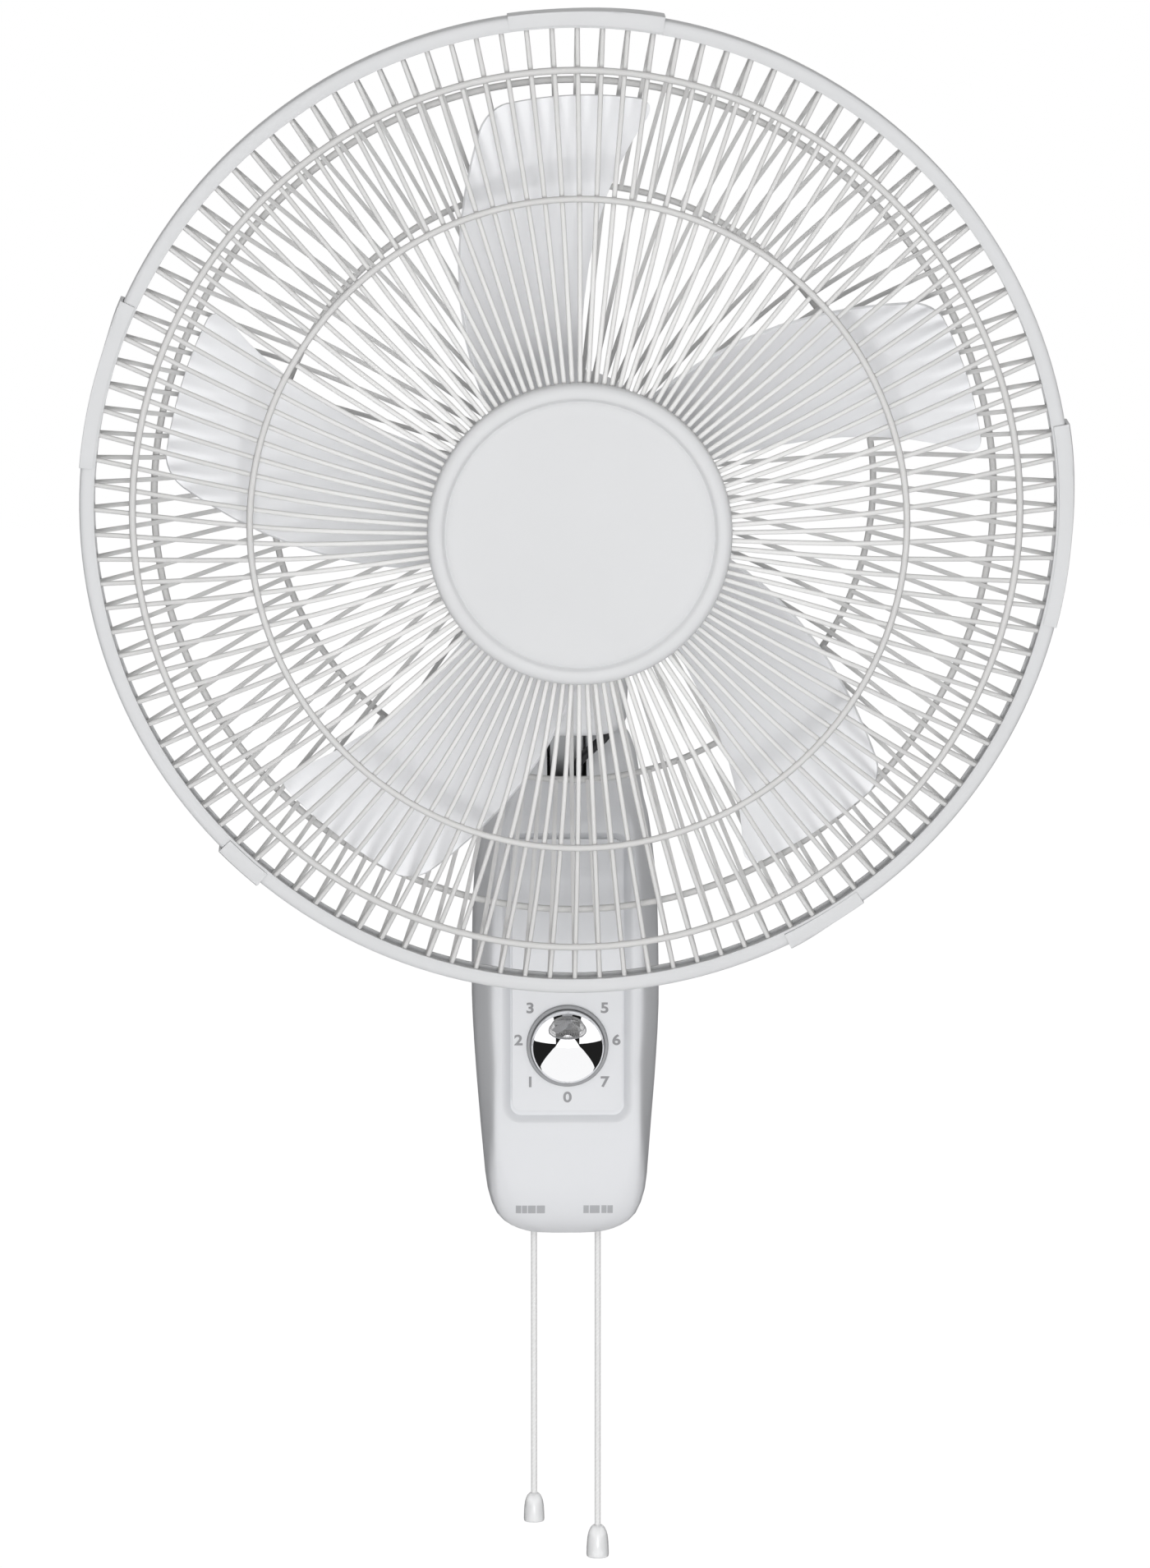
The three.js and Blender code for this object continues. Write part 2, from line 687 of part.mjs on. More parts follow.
const DRIVE_PIN_Y = -HUB_FRONT + HUB_DEPTH - 3 + SEAT + DRIVE_PIN_R;

/** The steel shaft with the cross pin, pressed in, that drives the hub. */
function motorShaft() {
  const end = REAR_SHIELD_END - SHIELD_WALL - 2 * SEAT;
  const pin = barX(DRIVE_PIN_R, -HUB_BOSS_R, HUB_BOSS_R).translate(0, DRIVE_PIN_Y, 0);
  return join(barY(SHAFT_R, SHAFT_FRONT, end), pin);
}

/** The domed nut that holds the blades on the shaft. */
function spinnerNut() {
  const back = -HUB_FRONT - SEAT;
  const front = back - SPINNER_DEPTH;
  const bore = SHAFT_FRONT - SEAT;
  return turned([[0, front], [6, front + 1], [12, front + 5], [SPINNER_R, front + 12], [SPINNER_R, back],
    [SHAFT_R + SEAT, back], [SHAFT_R + SEAT, bore], [0, bore]], ROUND);
}

// ---------------------------------------------------------------- motor

/** The front end shield, with the threaded boss for the guard nut and a bearing seat. */
function frontShield() {
  const nose = MOTOR_FRONT - MOTOR_BOSS_LENGTH;
  const open = STATOR_FRONT - SEAT;
  const seat = nose + BEARING_WIDTH + 3;
  const floor = MOTOR_FRONT + SHIELD_WALL;
  return turned([[SHAFT_R + 1, floor], [SHAFT_R + 1, seat], [BEARING_R + SEAT, seat], [BEARING_R + SEAT, nose],
    [MOTOR_BOSS_R, nose], [MOTOR_BOSS_R, MOTOR_FRONT], [SHIELD_R, MOTOR_FRONT], [SHIELD_R, open],
    [SHIELD_R - SHIELD_WALL, open], [SHIELD_R - SHIELD_WALL, floor]], PLAIN);
}

/** The winding: its ends outside the core, joined by the layer in the core's slots. */
function statorWinding() {
  const bore = ROTOR_R + AIR_GAP;
  const [from, to] = [STATOR_FRONT - SEAT, STATOR_FRONT + STATOR_LENGTH + SEAT];
  return turned([[bore, from - WINDING_DEPTH], [WINDING_END_R, from - WINDING_DEPTH], [WINDING_END_R, from],
    [WINDING_R, from], [WINDING_R, to], [WINDING_END_R, to], [WINDING_END_R, to + WINDING_DEPTH],
    [bore, to + WINDING_DEPTH]], PLAIN);
}

/** The rear end shield, with a bearing seat and the boss that the motor cover screws to. */
function rearShield() {
  const open = STATOR_FRONT + STATOR_LENGTH + SEAT;
  const floor = REAR_SHIELD_END - SHIELD_WALL;
  const seat = floor - BEARING_WIDTH - 1;
  const wall = REAR_SHIELD_R - SHIELD_WALL;
  const bossEnd = COVER_END - COVER_WALL - SEAT;
  return turned([[0, floor], [BEARING_R + SEAT, floor], [BEARING_R + SEAT, seat], [BEARING_R + 3, seat],
    [BEARING_R + 3, floor - SHIELD_WALL], [wall, floor - SHIELD_WALL - 1], [wall, open], [REAR_SHIELD_R, open],
    [REAR_SHIELD_R, REAR_SHIELD_END - 3], [REAR_SHIELD_R - 12, REAR_SHIELD_END], [5, REAR_SHIELD_END],
    [5, bossEnd], [0, bossEnd]], PLAIN);
}

/** Outside of the motor cover: [radius, y] from its open front to its closed end. */
const COVER_PROFILE = [
  [COVER_R, MOTOR_FRONT + 0.7],
  [COVER_R - 1, 130],
  [COVER_R - 6, 162],
  [COVER_R - 13, 177],
  [COVER_R - 30, COVER_END - 2],
];

/** The moulded motor cover with its collar round the swing post and its cooling slots. */
function motorCover() {
  const inside = COVER_PROFILE.map(([radius, y]) => [radius - COVER_WALL, y]);
  const shell = turned([[0, COVER_END], ...COVER_PROFILE.slice().reverse(), ...inside,
    [0, COVER_END - COVER_WALL]], WIDE);
  const collarTop = -(COVER_R - 12);
  const collar = barZ(COLLAR_R, NECK_TOP + 1, collarTop, ROUND).translate(0, SWING_Y, 0);
  const hollow = turned([[0, MOTOR_FRONT], ...inside, [0, COVER_END - COVER_WALL]], WIDE);
  const throat = barZ(COLLAR_R - COVER_WALL, NECK_TOP, collarTop + 8, ROUND).translate(0, SWING_Y, 0);
  const slots = [];
  for (let k = 0; k < VENT_COUNT; k += 1) {
    const slot = box([-VENT_WIDTH / 2, COVER_END - VENT_DEPTH, VENT_INNER],
      [VENT_WIDTH / 2, COVER_END, VENT_OUTER]);
    slots.push(slot.rotateY(k * 4 * QUARTER / VENT_COUNT + 2 * QUARTER / VENT_COUNT));
  }
  return cut(join(shell, cut(collar, hollow)), throat, ...slots);
}

/** The cast foot that carries the motor on the swing post. */
function motorCradle() {
  const front = STATOR_FRONT + STATOR_LENGTH + 2 * SEAT;
  const foot = box([-CRADLE_HALF, front, CRADLE_LOW], [CRADLE_HALF, SWING_Y + 3, CRADLE_TOP]);
  const saddle = barY(REAR_SHIELD_R + SEAT, SWING_Y - 20, SWING_Y + 20, WIDE);
  const bore = barZ(POST_R + SEAT, NECK_TOP, CRADLE_BORE_TOP).translate(0, SWING_Y, 0);
  const pad = barZ(CRADLE_PAD_R, CRADLE_LOW, CRADLE_BORE_TOP - 2, ROUND).translate(0, SWING_Y, 0);
  return cut(join(foot, pad), saddle, bore);
}

// ---------------------------------------------------------------- swing drive

const CRANK_AXIS = [ROCKER_REACH - CRANK_REACH, SWING_Y + LINK_LENGTH];
const BUSH_BOTTOM = BRIDGE_TOP - BRIDGE_THICK + SEAT;
const BUSH_TOP = BUSH_BOTTOM + BUSH_HEIGHT;
const ROCKER_LOW = BUSH_TOP + 2;
const CRANK_LOW = BRIDGE_TOP + 2;
const LINK_LOW = CRANK_LOW + ARM_THICK + 1;
const PIN_FOOT = CRANK_LOW + ARM_THICK + 0.5;
const PIN_HEAD = LINK_LOW + LINK_THICK + 2;

/** The bearing bush round the post. */
function swingBush() {
  return tubeZ(POST_R + RUN, POST_R + RUN + BUSH_WALL, BUSH_BOTTOM, BUSH_TOP).translate(0, SWING_Y, 0);
}

/** The steel post that the head turns on, with its rocker arm and the pin down into the link. */
function swingPost() {
  const post = barZ(POST_R, BUSH_BOTTOM + 1, CRADLE_BORE_TOP - SEAT).translate(0, SWING_Y, 0);
  const shape = roundedBar([0, SWING_Y], [ROCKER_REACH, SWING_Y], POST_ARM_R, LINK_PIN_R + PIN_WALL);
  const arm = slabZ(shape, ROCKER_LOW, ROCKER_LOW + ARM_THICK);
  const pin = barZ(LINK_PIN_R, PIN_FOOT, ROCKER_LOW + 1).translate(ROCKER_REACH, SWING_Y, 0);
  return join(post, arm, pin);
}

/** The crank with its shaft into the swing motor and its pin pointing up. */
function swingCrank() {
  const [x, y] = CRANK_AXIS;
  const shape = roundedBar([x, y], [x + CRANK_REACH, y], 2 * CRANK_SHAFT_R, LINK_PIN_R + PIN_WALL);
  const arm = slabZ(shape, CRANK_LOW, CRANK_LOW + ARM_THICK);
  const shaft = barZ(CRANK_SHAFT_R, BUSH_BOTTOM - SEAT, CRANK_LOW + 1).translate(x, y, 0);
  const pin = barZ(LINK_PIN_R, CRANK_LOW + 1, PIN_HEAD).translate(x + CRANK_REACH, y, 0);
  return join(arm, shaft, pin);
}

/** The link between crank and rocker; its rocker eye is wide, where the closed loop is opened. */
function swingLink() {
  const x = ROCKER_REACH;
  const near = SWING_Y + LINK_LENGTH;
  const openR = LINK_PIN_R + OPEN_PIVOT_GAP;
  const bar = slabZ(roundedBar([x, near], [x, SWING_Y], 2.4, 2.4), LINK_LOW, LINK_LOW + LINK_THICK);
  const eyes = [
    barZ(LINK_PIN_R + RUN + LINK_EYE_WALL, LINK_LOW, LINK_LOW + LINK_THICK).translate(x, near, 0),
    barZ(openR + LINK_EYE_WALL, LINK_LOW, LINK_LOW + LINK_THICK).translate(x, SWING_Y, 0),
  ];
  const holes = [
    barZ(LINK_PIN_R + RUN, LINK_LOW - 1, LINK_LOW + LINK_THICK + 1).translate(x, near, 0),
    barZ(openR, LINK_LOW - 1, LINK_LOW + LINK_THICK + 1).translate(x, SWING_Y, 0),
  ];
  return cut(join(bar, ...eyes), ...holes);
}

const SWING_MOTOR_TOP = BRIDGE_TOP - BRIDGE_THICK - SEAT * 2;
const SWING_MOTOR_Y = SWING_Y + 10;
const FLOOR_TOP = SWING_MOTOR_TOP - SWING_MOTOR_THICK - SEAT;

/** The small geared motor that drives the crank. */
function swingMotor() {
  return barZ(SWING_MOTOR_R, SWING_MOTOR_TOP - SWING_MOTOR_THICK, SWING_MOTOR_TOP, ROUND)
    .translate(0, SWING_MOTOR_Y, 0);
}

/** Place of the tilt bolt seen from the head's own origin, as [y, z]. */
const BOLT_IN_HEAD = [
  (TILT_Y - HEAD_Y) * Math.cos(TURN) + (TILT_Z - HEAD_Z) * Math.sin(TURN),
  -(TILT_Y - HEAD_Y) * Math.sin(TURN) + (TILT_Z - HEAD_Z) * Math.cos(TURN),
];

/** The cast neck frame: bridge, legs, floor and the tongue with its eye on the tilt bolt. */
function neckFrame() {
  const side = NECK_HALF;
  const low = FLOOR_TOP - FLOOR_THICK;
  const bridgeLow = BRIDGE_TOP - BRIDGE_THICK;
  const bridge = box([-side, FRAME_FRONT, bridgeLow], [side, BRIDGE_REAR, BRIDGE_TOP]);
  const floor = box([-side, FRAME_FRONT, low], [side, FLOOR_REAR, FLOOR_TOP]);
  const legs = [-1, 1].map((way) => {
    const inner = SWING_MOTOR_R + SEAT;
    const [from, to] = way < 0 ? [-side, -inner] : [inner, side];
    return box([from, LEG_FRONT, low + 1], [to, LEG_REAR, BRIDGE_TOP - 1]);
  });
  const room = loft([NECK_BOTTOM, NECK_TOP].map((z) => neckOutline(z, NECK_WALL + SEAT)));
  const [boltY, boltZ] = BOLT_IN_HEAD;
  const root = slabX([[boltY - TONGUE_EYE_R, boltZ], [TONGUE_FRONT, low + 1], [TONGUE_REAR, low + 1],
    [boltY + TONGUE_EYE_R, boltZ]], -TONGUE_HALF, TONGUE_HALF);
  const eye = barX(TONGUE_EYE_R, -TONGUE_HALF, TONGUE_HALF, ROUND).translate(0, boltY, boltZ);
  const bore = barX(BOLT_R + RUN, -20, 20).translate(0, boltY, boltZ);
  const bushHole = barZ(POST_R + RUN + BUSH_WALL + SEAT, bridgeLow - 1, BRIDGE_TOP + 1)
    .translate(0, SWING_Y, 0);
  const shaftHole = barZ(4, bridgeLow - 1, BRIDGE_TOP + 1).translate(...CRANK_AXIS, 0);
  return cut(join(common(join(bridge, floor, ...legs), room), root, eye), bore, bushHole, shaftHole);
}

/** The neck's outline at one height, drawn in by a distance. */
function neckOutline(z, inset) {
  const t = (z - NECK_BOTTOM) / (NECK_TOP - NECK_BOTTOM);
  const half = NECK_HALF - NECK_TAPER * (1 - t) - inset;
  const middle = (NECK_FRONT + NECK_REAR) / 2;
  const depth = (NECK_REAR - NECK_FRONT) / 2 - inset;
  const outline = [];
  const squared = (value) => Math.sign(value) * Math.abs(value) ** NECK_SQUARENESS;
  for (let k = 0; k < NECK_POINTS; k += 1) {
    const angle = 4 * QUARTER * (k + 0.5) / NECK_POINTS;
    const x = squared(Math.cos(angle));
    const y = squared(Math.sin(angle));
    outline.push([half * x, middle + depth * y, z]);
  }
  return outline;
}

/** The moulded neck cover round frame and swing motor. */
function neckShell() {
  const outside = loft([neckOutline(NECK_BOTTOM, 3), neckOutline(NECK_BOTTOM + 4, 0),
    neckOutline(NECK_TOP - 3, 0), neckOutline(NECK_TOP, 2)]);
  const ends = [NECK_BOTTOM + NECK_WALL, NECK_TOP - NECK_WALL];
  const inside = loft(ends.map((z) => neckOutline(z, NECK_WALL)));
  const post = barZ(POST_R + 3, NECK_TOP - 6, NECK_TOP + 2).translate(0, SWING_Y, 0);
  const slotHalf = TONGUE_HALF + 1.5;
  const slot = box([-slotHalf, SWING_Y + 1, NECK_BOTTOM - 2], [slotHalf, NECK_REAR - 4, NECK_BOTTOM + 4]);
  const leadHole = barZ(LEAD_R + 1, NECK_BOTTOM - 2, NECK_BOTTOM + 5).translate(...LEAD_ENTRY, 0);
  return cut(outside, inside, post, slot, leadHole);
}

// ---------------------------------------------------------------- column

/** The column's half width, front and back at the heights that shape it, from the bottom up. */
const COLUMN_LEVELS = [
  { z: COLUMN_BOTTOM, half: 17, front: -72, back: -22 },
  { z: COLUMN_BOTTOM + 4, half: 27, front: -79, back: -14 },
  { z: COLUMN_BOTTOM + 10, half: 33, front: -84, back: -10 },
  { z: COLUMN_BOTTOM + 22, half: 37.4, front: -89, back: COLUMN_BACK },
  { z: -64, half: 41, front: COLUMN_FRONT, back: COLUMN_BACK },
  { z: -15, half: COLUMN_HALF, front: COLUMN_FRONT, back: COLUMN_BACK },
  { z: 35, half: COLUMN_HALF, front: COLUMN_FRONT, back: COLUMN_BACK },
  { z: 72, half: 41.5, front: COLUMN_FRONT + 1, back: COLUMN_BACK },
  { z: 86, half: 38.6, front: -87.5, back: -12 },
  { z: TILT_Z + 6, half: 35.8, front: TILT_Y - TILT_CROWN_R * 0.968, back: -24 },
  { z: TILT_Z + 16, half: 33.5, front: TILT_Y - TILT_CROWN_R * 0.745, back: -38 },
  { z: COLUMN_TOP, half: 30, front: TILT_Y - 9, back: TILT_Y + 9 },
];

/** The column's outline at one level, drawn in at its sides and back and at its front. */
function columnOutline({ z, half, front, back }, inset, faceInset) {
  const w = half - inset;
  const rear = back - inset;
  const nose = front + faceInset;
  const depth = rear - nose;
  const inner = Math.min(CHEEK_INSET, w * 0.5);
  const side = [
    [w - Math.min(BACK_CORNER, w / 4), rear], [w, rear - Math.min(BACK_CORNER, depth / 6)],
    [w - 0.5, rear - depth * 0.42],
    [w - inner * 0.25, nose + depth * 0.2], [w - inner * 0.55, nose + depth * 0.05], [w - inner, nose],
  ];
  const right = side.map(([x, y]) => [x, y, z]);
  const left = side.slice().reverse().map(([x, y]) => [-x, y, z]);
  return [...right, ...left];
}

/** The column's outside, or with its walls taken off, its inside. */
function columnBody(wall, faceWall) {
  const levels = COLUMN_LEVELS.map((level) => ({ ...level }));
  levels[0].z += wall;
  levels[levels.length - 1].z -= wall;
  return loft(levels.map((level) => columnOutline(level, wall, level.z > POCKET_TOP ? wall : faceWall)));
}

/** The slot at the column's crown that the tongue swings in. */
function tongueSlot() {
  const reach = TILT_CROWN_R + 12;
  const outline = [[TILT_Y, TILT_Z]];
  for (let step = 0; step <= SLOT_STEPS; step += 1) {
    const turn = THREE.MathUtils.degToRad(SLOT_REAR + (SLOT_FRONT - SLOT_REAR) * step / SLOT_STEPS);
    outline.push([TILT_Y - reach * Math.sin(turn), TILT_Z + reach * Math.cos(turn)]);
  }
  const half = TONGUE_HALF + WASHER_THICK + 2 * SEAT;
  return slabX(outline, -half, half);
}

/** The closed shell of the column before it is parted. */
function columnShell() {
  const hollow = columnBody(COLUMN_WALL, COLUMN_FACE_WALL);
  const cordHoles = [-1, 1].map((side) => {
    return barZ(CORD_HOLE_R, COLUMN_BOTTOM - 5, COLUMN_BOTTOM + 8).translate(side * CORD_X, CORD_Y, 0);
  });
  return cut(columnBody(0, 0), hollow, tongueSlot(), ...cordHoles);
}

/** The front housing with the control plate's pocket and two screw bosses. */
function frontHousing() {
  const reach = 200;
  const front = common(columnShell(), box([-reach, -reach, -reach], [reach, PARTING_Y, reach]));
  const bosses = SCREW_PLACES.map(([x, z]) => {
    return barY(SCREW_BOSS_R, COLUMN_FRONT + COLUMN_FACE_WALL - 3, PARTING_Y + 2).translate(x, 0, z);
  });
  const pocketFloor = COLUMN_FRONT + POCKET_DEPTH;
  const pocket = slabY(
    roundedRectangle(-POCKET_WIDTH / 2, POCKET_WIDTH / 2, POCKET_BOTTOM, POCKET_TOP, POCKET_R),
    COLUMN_FRONT - 10, pocketFloor);
  const timerHole = barY(TIMER_BOSS_R + SEAT, COLUMN_FRONT - 5, COLUMN_FRONT + 20).translate(0, 0, KNOB_Z);
  const bores = SCREW_PLACES.map(([x, z]) => {
    return barY(SCREW_R + SEAT, PARTING_Y - SCREW_GRIP - 2, PARTING_Y + 5).translate(x, 0, z);
  });
  return cut(join(front, ...bosses), pocket, timerHole, ...bores);
}

/** The rear housing with its hook slots, screw holes and lead inlet. */
function rearHousing() {
  const reach = 200;
  const rear = common(columnShell(), box([-reach, PARTING_Y + SEAT, -reach], [reach, reach, reach]));
  const slots = [-1, 1].map((side) => {
    const [near, far] = [HOOK_X - HOOK_WIDTH / 2 - 0.5, HOOK_X + HOOK_WIDTH / 2 + 0.5];
    const [from, to] = side < 0 ? [-far, -near] : [near, far];
    return box([from, COLUMN_BACK - COLUMN_WALL - 1, HOOK_Z + SEAT - HOOK_STEM - HOOK_LIP - 2],
      [to, COLUMN_BACK + 1, HOOK_Z + SEAT]);
  });
  const holes = SCREW_PLACES.map(([x, z]) => {
    return barY(SCREW_R + SEAT, COLUMN_BACK - COLUMN_WALL - 1, COLUMN_BACK + 1).translate(x, 0, z);
  });
  const inlet = barZ(GLAND_R + SEAT, COLUMN_BOTTOM - 5, COLUMN_BOTTOM + 10).translate(0, GLAND_Y, 0);
  return cut(rear, ...slots, ...holes, inlet);
}

/** The flanged gland where the mains lead would come in. */
function cableGland() {
  const sleeve = tubeZ(GLAND_BORE_R, GLAND_R, COLUMN_BOTTOM - SEAT - 1, COLUMN_BOTTOM + 6);
  const flange = tubeZ(GLAND_BORE_R, GLAND_R + 2, COLUMN_BOTTOM - SEAT - 1.6, COLUMN_BOTTOM - SEAT);
  return join(sleeve, flange).translate(0, GLAND_Y, 0);
}

/** A screw that closes the column, its head in the gap behind the rear housing. */
function housingScrew([x, z]) {
  const head = barY(SCREW_HEAD_R, COLUMN_BACK + SEAT, COLUMN_BACK + 2.2);
  const shank = barY(SCREW_R, PARTING_Y - SCREW_GRIP, COLUMN_BACK + 1);
  return join(head, shank).translate(x, 0, z);
}

/** The control plate that lies in the pocket of the front housing. */
function controlPlate() {
  const half = POCKET_WIDTH / 2 - PANEL_MARGIN;
  const back = COLUMN_FRONT + POCKET_DEPTH - SEAT;
  const low = POCKET_BOTTOM + PANEL_MARGIN + 1.5;
  const high = POCKET_TOP - PANEL_MARGIN;
  const outline = roundedRectangle(-half, half, low, high, POCKET_R - PANEL_MARGIN + 1);
  const plate = slabY(outline, back - PANEL_THICK, back);
  const hole = barY(TIMER_BOSS_R + SEAT, back - 20, back + 20).translate(0, 0, KNOB_Z);
  return cut(plate, hole);
}

const PANEL_FACE = COLUMN_FRONT + POCKET_DEPTH - SEAT - PANEL_THICK;

/** The timer behind the control plate, with its threaded boss. */
function timerBody() {
  const face = COLUMN_FRONT + COLUMN_FACE_WALL + SEAT;
  const bossEnd = PANEL_FACE;
  const end = face + TIMER_DEPTH;
  const boreEnd = face + TIMER_BORE;
  const bore = TIMER_SHAFT_R + RUN;
  return turned([[bore, bossEnd], [TIMER_BOSS_R, bossEnd], [TIMER_BOSS_R, face], [TIMER_R, face],
    [TIMER_R, end], [0, end], [0, boreEnd], [bore, boreEnd]], PLAIN).translate(0, 0, KNOB_Z);
}

/** The fixed ring round the knob's foot. */
function knobBezel() {
  const face = PANEL_FACE - SEAT;
  return turned([[BEZEL_BORE_R, face], [BEZEL_R, face], [BEZEL_R, face - BEZEL_DEPTH + 1],
    [BEZEL_R - 1.2, face - BEZEL_DEPTH], [BEZEL_BORE_R, face - BEZEL_DEPTH]], WIDE).translate(0, 0, KNOB_Z);
}

const KNOB_BACK = PANEL_FACE - BEZEL_DEPTH - 2 * SEAT;

/** The domed chrome knob with a blind bore for the timer's shaft. */
function timerKnob() {
  const face = KNOB_BACK - KNOB_DEPTH;
  const boreEnd = KNOB_BACK - KNOB_BORE;
  const bore = TIMER_SHAFT_R + SEAT;
  const profile = [[0, face], [KNOB_R * 0.45, face + KNOB_DEPTH * 0.065],
    [KNOB_R * 0.8, face + KNOB_DEPTH * 0.29], [KNOB_R * 0.95, face + KNOB_DEPTH * 0.57],
    [KNOB_R, KNOB_BACK], [bore, KNOB_BACK], [bore, boreEnd], [0, boreEnd]];
  return turned(profile, WIDE).translate(0, 0, KNOB_Z);
}

/** The timer's shaft, which turns with the knob. */
function timerShaft() {
  const inner = COLUMN_FRONT + COLUMN_FACE_WALL + TIMER_BORE - 1;
  return barY(TIMER_SHAFT_R, KNOB_BACK - KNOB_BORE + SEAT, inner).translate(0, 0, KNOB_Z);
}

/** The wall plate: folded edges, four screw holes and two hooks. */
function wallPlate() {
  const halfW = PLATE_WIDTH / 2;
  const halfH = PLATE_HEIGHT / 2;
  const sheet = box([-halfW, -PLATE_THICK, -halfH], [halfW, 0, halfH]);
  const edges = [-1, 1].map((side) => {
    const [from, to] = side < 0 ? [-halfW, -halfW + PLATE_THICK] : [halfW - PLATE_THICK, halfW];
    return box([from, -PLATE_STANDOFF, -halfH + 4], [to, -PLATE_THICK / 2, halfH - 44]);
  });
  const hooks = [-1, 1].flatMap((side) => {
    const from = side * HOOK_X - HOOK_WIDTH / 2;
    const lipBack = COLUMN_BACK - COLUMN_WALL - 2 * SEAT;
    const low = [from, lipBack - HOOK_LIP_THICK, HOOK_Z - HOOK_STEM];
    return [
      box(low, [from + HOOK_WIDTH, -PLATE_THICK / 2, HOOK_Z]),
      box(low, [from + HOOK_WIDTH, lipBack, HOOK_Z + HOOK_LIP]),
    ];
  });
  const holes = [-1, 1].flatMap((side) => [-1, 1].map((up) => {
    return barY(WALL_HOLE_R, -PLATE_THICK - 1, 1).translate(side * 18, 0, up * WALL_HOLE_SPACING / 2);
  }));
  return cut(join(sheet, ...edges, ...hooks), ...holes);
}

/** The black steel fork in the column's crown that carries the tilt bolt. */
function tiltBracket() {
  const inner = TONGUE_HALF + WASHER_THICK + 2 * SEAT;
  const outer = inner + BRACKET_THICK;
  const back = COLUMN_BACK - COLUMN_WALL - SEAT;
  const foot = TILT_Z - BRACKET_FOOT;
  const shoulder = foot + BRACKET_WEB;
  const eye = BRACKET_EYE;
  const cheek = [[back, foot], [back, shoulder], [TILT_Y + eye * 0.36, TILT_Z + eye * 0.9],
    [TILT_Y - eye * 0.82, TILT_Z + eye * 0.45], [TILT_Y - eye, TILT_Z - eye * 0.55],
    [TILT_Y, TILT_Z - eye * 1.27], [TILT_Y + eye * 1.27, foot]];
  const cheeks = [slabX(cheek, -outer, -inner), slabX(cheek, inner, outer)];
  const web = box([-outer, back - BRACKET_THICK, foot], [outer, back, shoulder]);
  const bore = barX(BOLT_R + SEAT, -30, 30).translate(0, TILT_Y, TILT_Z);
  return cut(join(web, ...cheeks), bore);
}

const CHEEK_OUTER = TONGUE_HALF + WASHER_THICK + 2 * SEAT + BRACKET_THICK;

/** The tilt bolt with its head. */
function tiltBolt() {
  const head = barX(BOLT_HEAD_R, -CHEEK_OUTER - SEAT - BOLT_HEAD, -CHEEK_OUTER - SEAT, 6);
  const shank = barX(BOLT_R, -CHEEK_OUTER - 2, CHEEK_OUTER + 8);
  return join(head, shank).translate(0, TILT_Y, TILT_Z);
}

/** The nut that sets the tilt friction. */
function tiltNut() {
  const face = CHEEK_OUTER + SEAT;
  const bore = barX(BOLT_R + SEAT, face - 1, face + BOLT_HEAD + 1);
  return cut(barX(BOLT_HEAD_R, face, face + BOLT_HEAD, 6), bore).translate(0, TILT_Y, TILT_Z);
}

/** A friction washer beside the tongue. */
function tiltWasher(side) {
  const from = TONGUE_HALF + SEAT;
  const [low, high] = side < 0 ? [-from - WASHER_THICK, -from] : [from, from + WASHER_THICK];
  return tubeX(BOLT_R + SEAT, TONGUE_EYE_R - 2, low, high).translate(0, TILT_Y, TILT_Z);
}

/** A block that sits on the inside of the column's back. */
function backBlock({ half, depth, low, high }) {
  const back = COLUMN_BACK - COLUMN_WALL - SEAT;
  return box([-half, back - depth, low], [half, back, high]);
}

/** A pull switch above its cord guide. */
function pullSwitch(side) {
  const middle = side * CORD_X;
  const half = SWITCH_HEIGHT / 2;
  return box([middle - SWITCH_WIDTH / 2, SWITCH_FRONT, SWITCH_Z - half],
    [middle + SWITCH_WIDTH / 2, SWITCH_BACK, SWITCH_Z + half]);
}

const CORD_TOP = SWITCH_Z - SWITCH_HEIGHT / 2 - SEAT;

/** Places that a cord hangs through, from its switch down to its bell. */
function cordRoute(side, end) {
  const x = side * CORD_X;
  return [0, 0.25, 0.5, 0.75, 1].map((share) => [x, CORD_Y, CORD_TOP + share * (end + SEAT - CORD_TOP)]);
}

/** The bell at a cord's end. */
function bell(side, top) {
  const end = top - BELL_LENGTH;
  const profile = [[0, top], [BELL_NECK_R, top], [BELL_NECK_R + 0.7, top - 3], [BELL_R - 0.6, top - 7],
    [BELL_R, end + 1.5], [BELL_R - 0.8, end], [0, end]];
  return turned(profile.map(([radius, z]) => [radius, -z]), PLAIN).rotateX(-QUARTER)
    .translate(side * CORD_X, CORD_Y, 0);
}

const LEAD_ROUTE = [[4, -68, 76], [4, -72.5, 86], [4, -74.8, 97], [4.6, -78.5, 103.5], [8, -86, 109.5],
  [13.5, -91.6, 115], [18.3, -94.4, 120], [20, -95.1, 125.5], [20, -95.8, 132]];

// ---------------------------------------------------------------- assembly

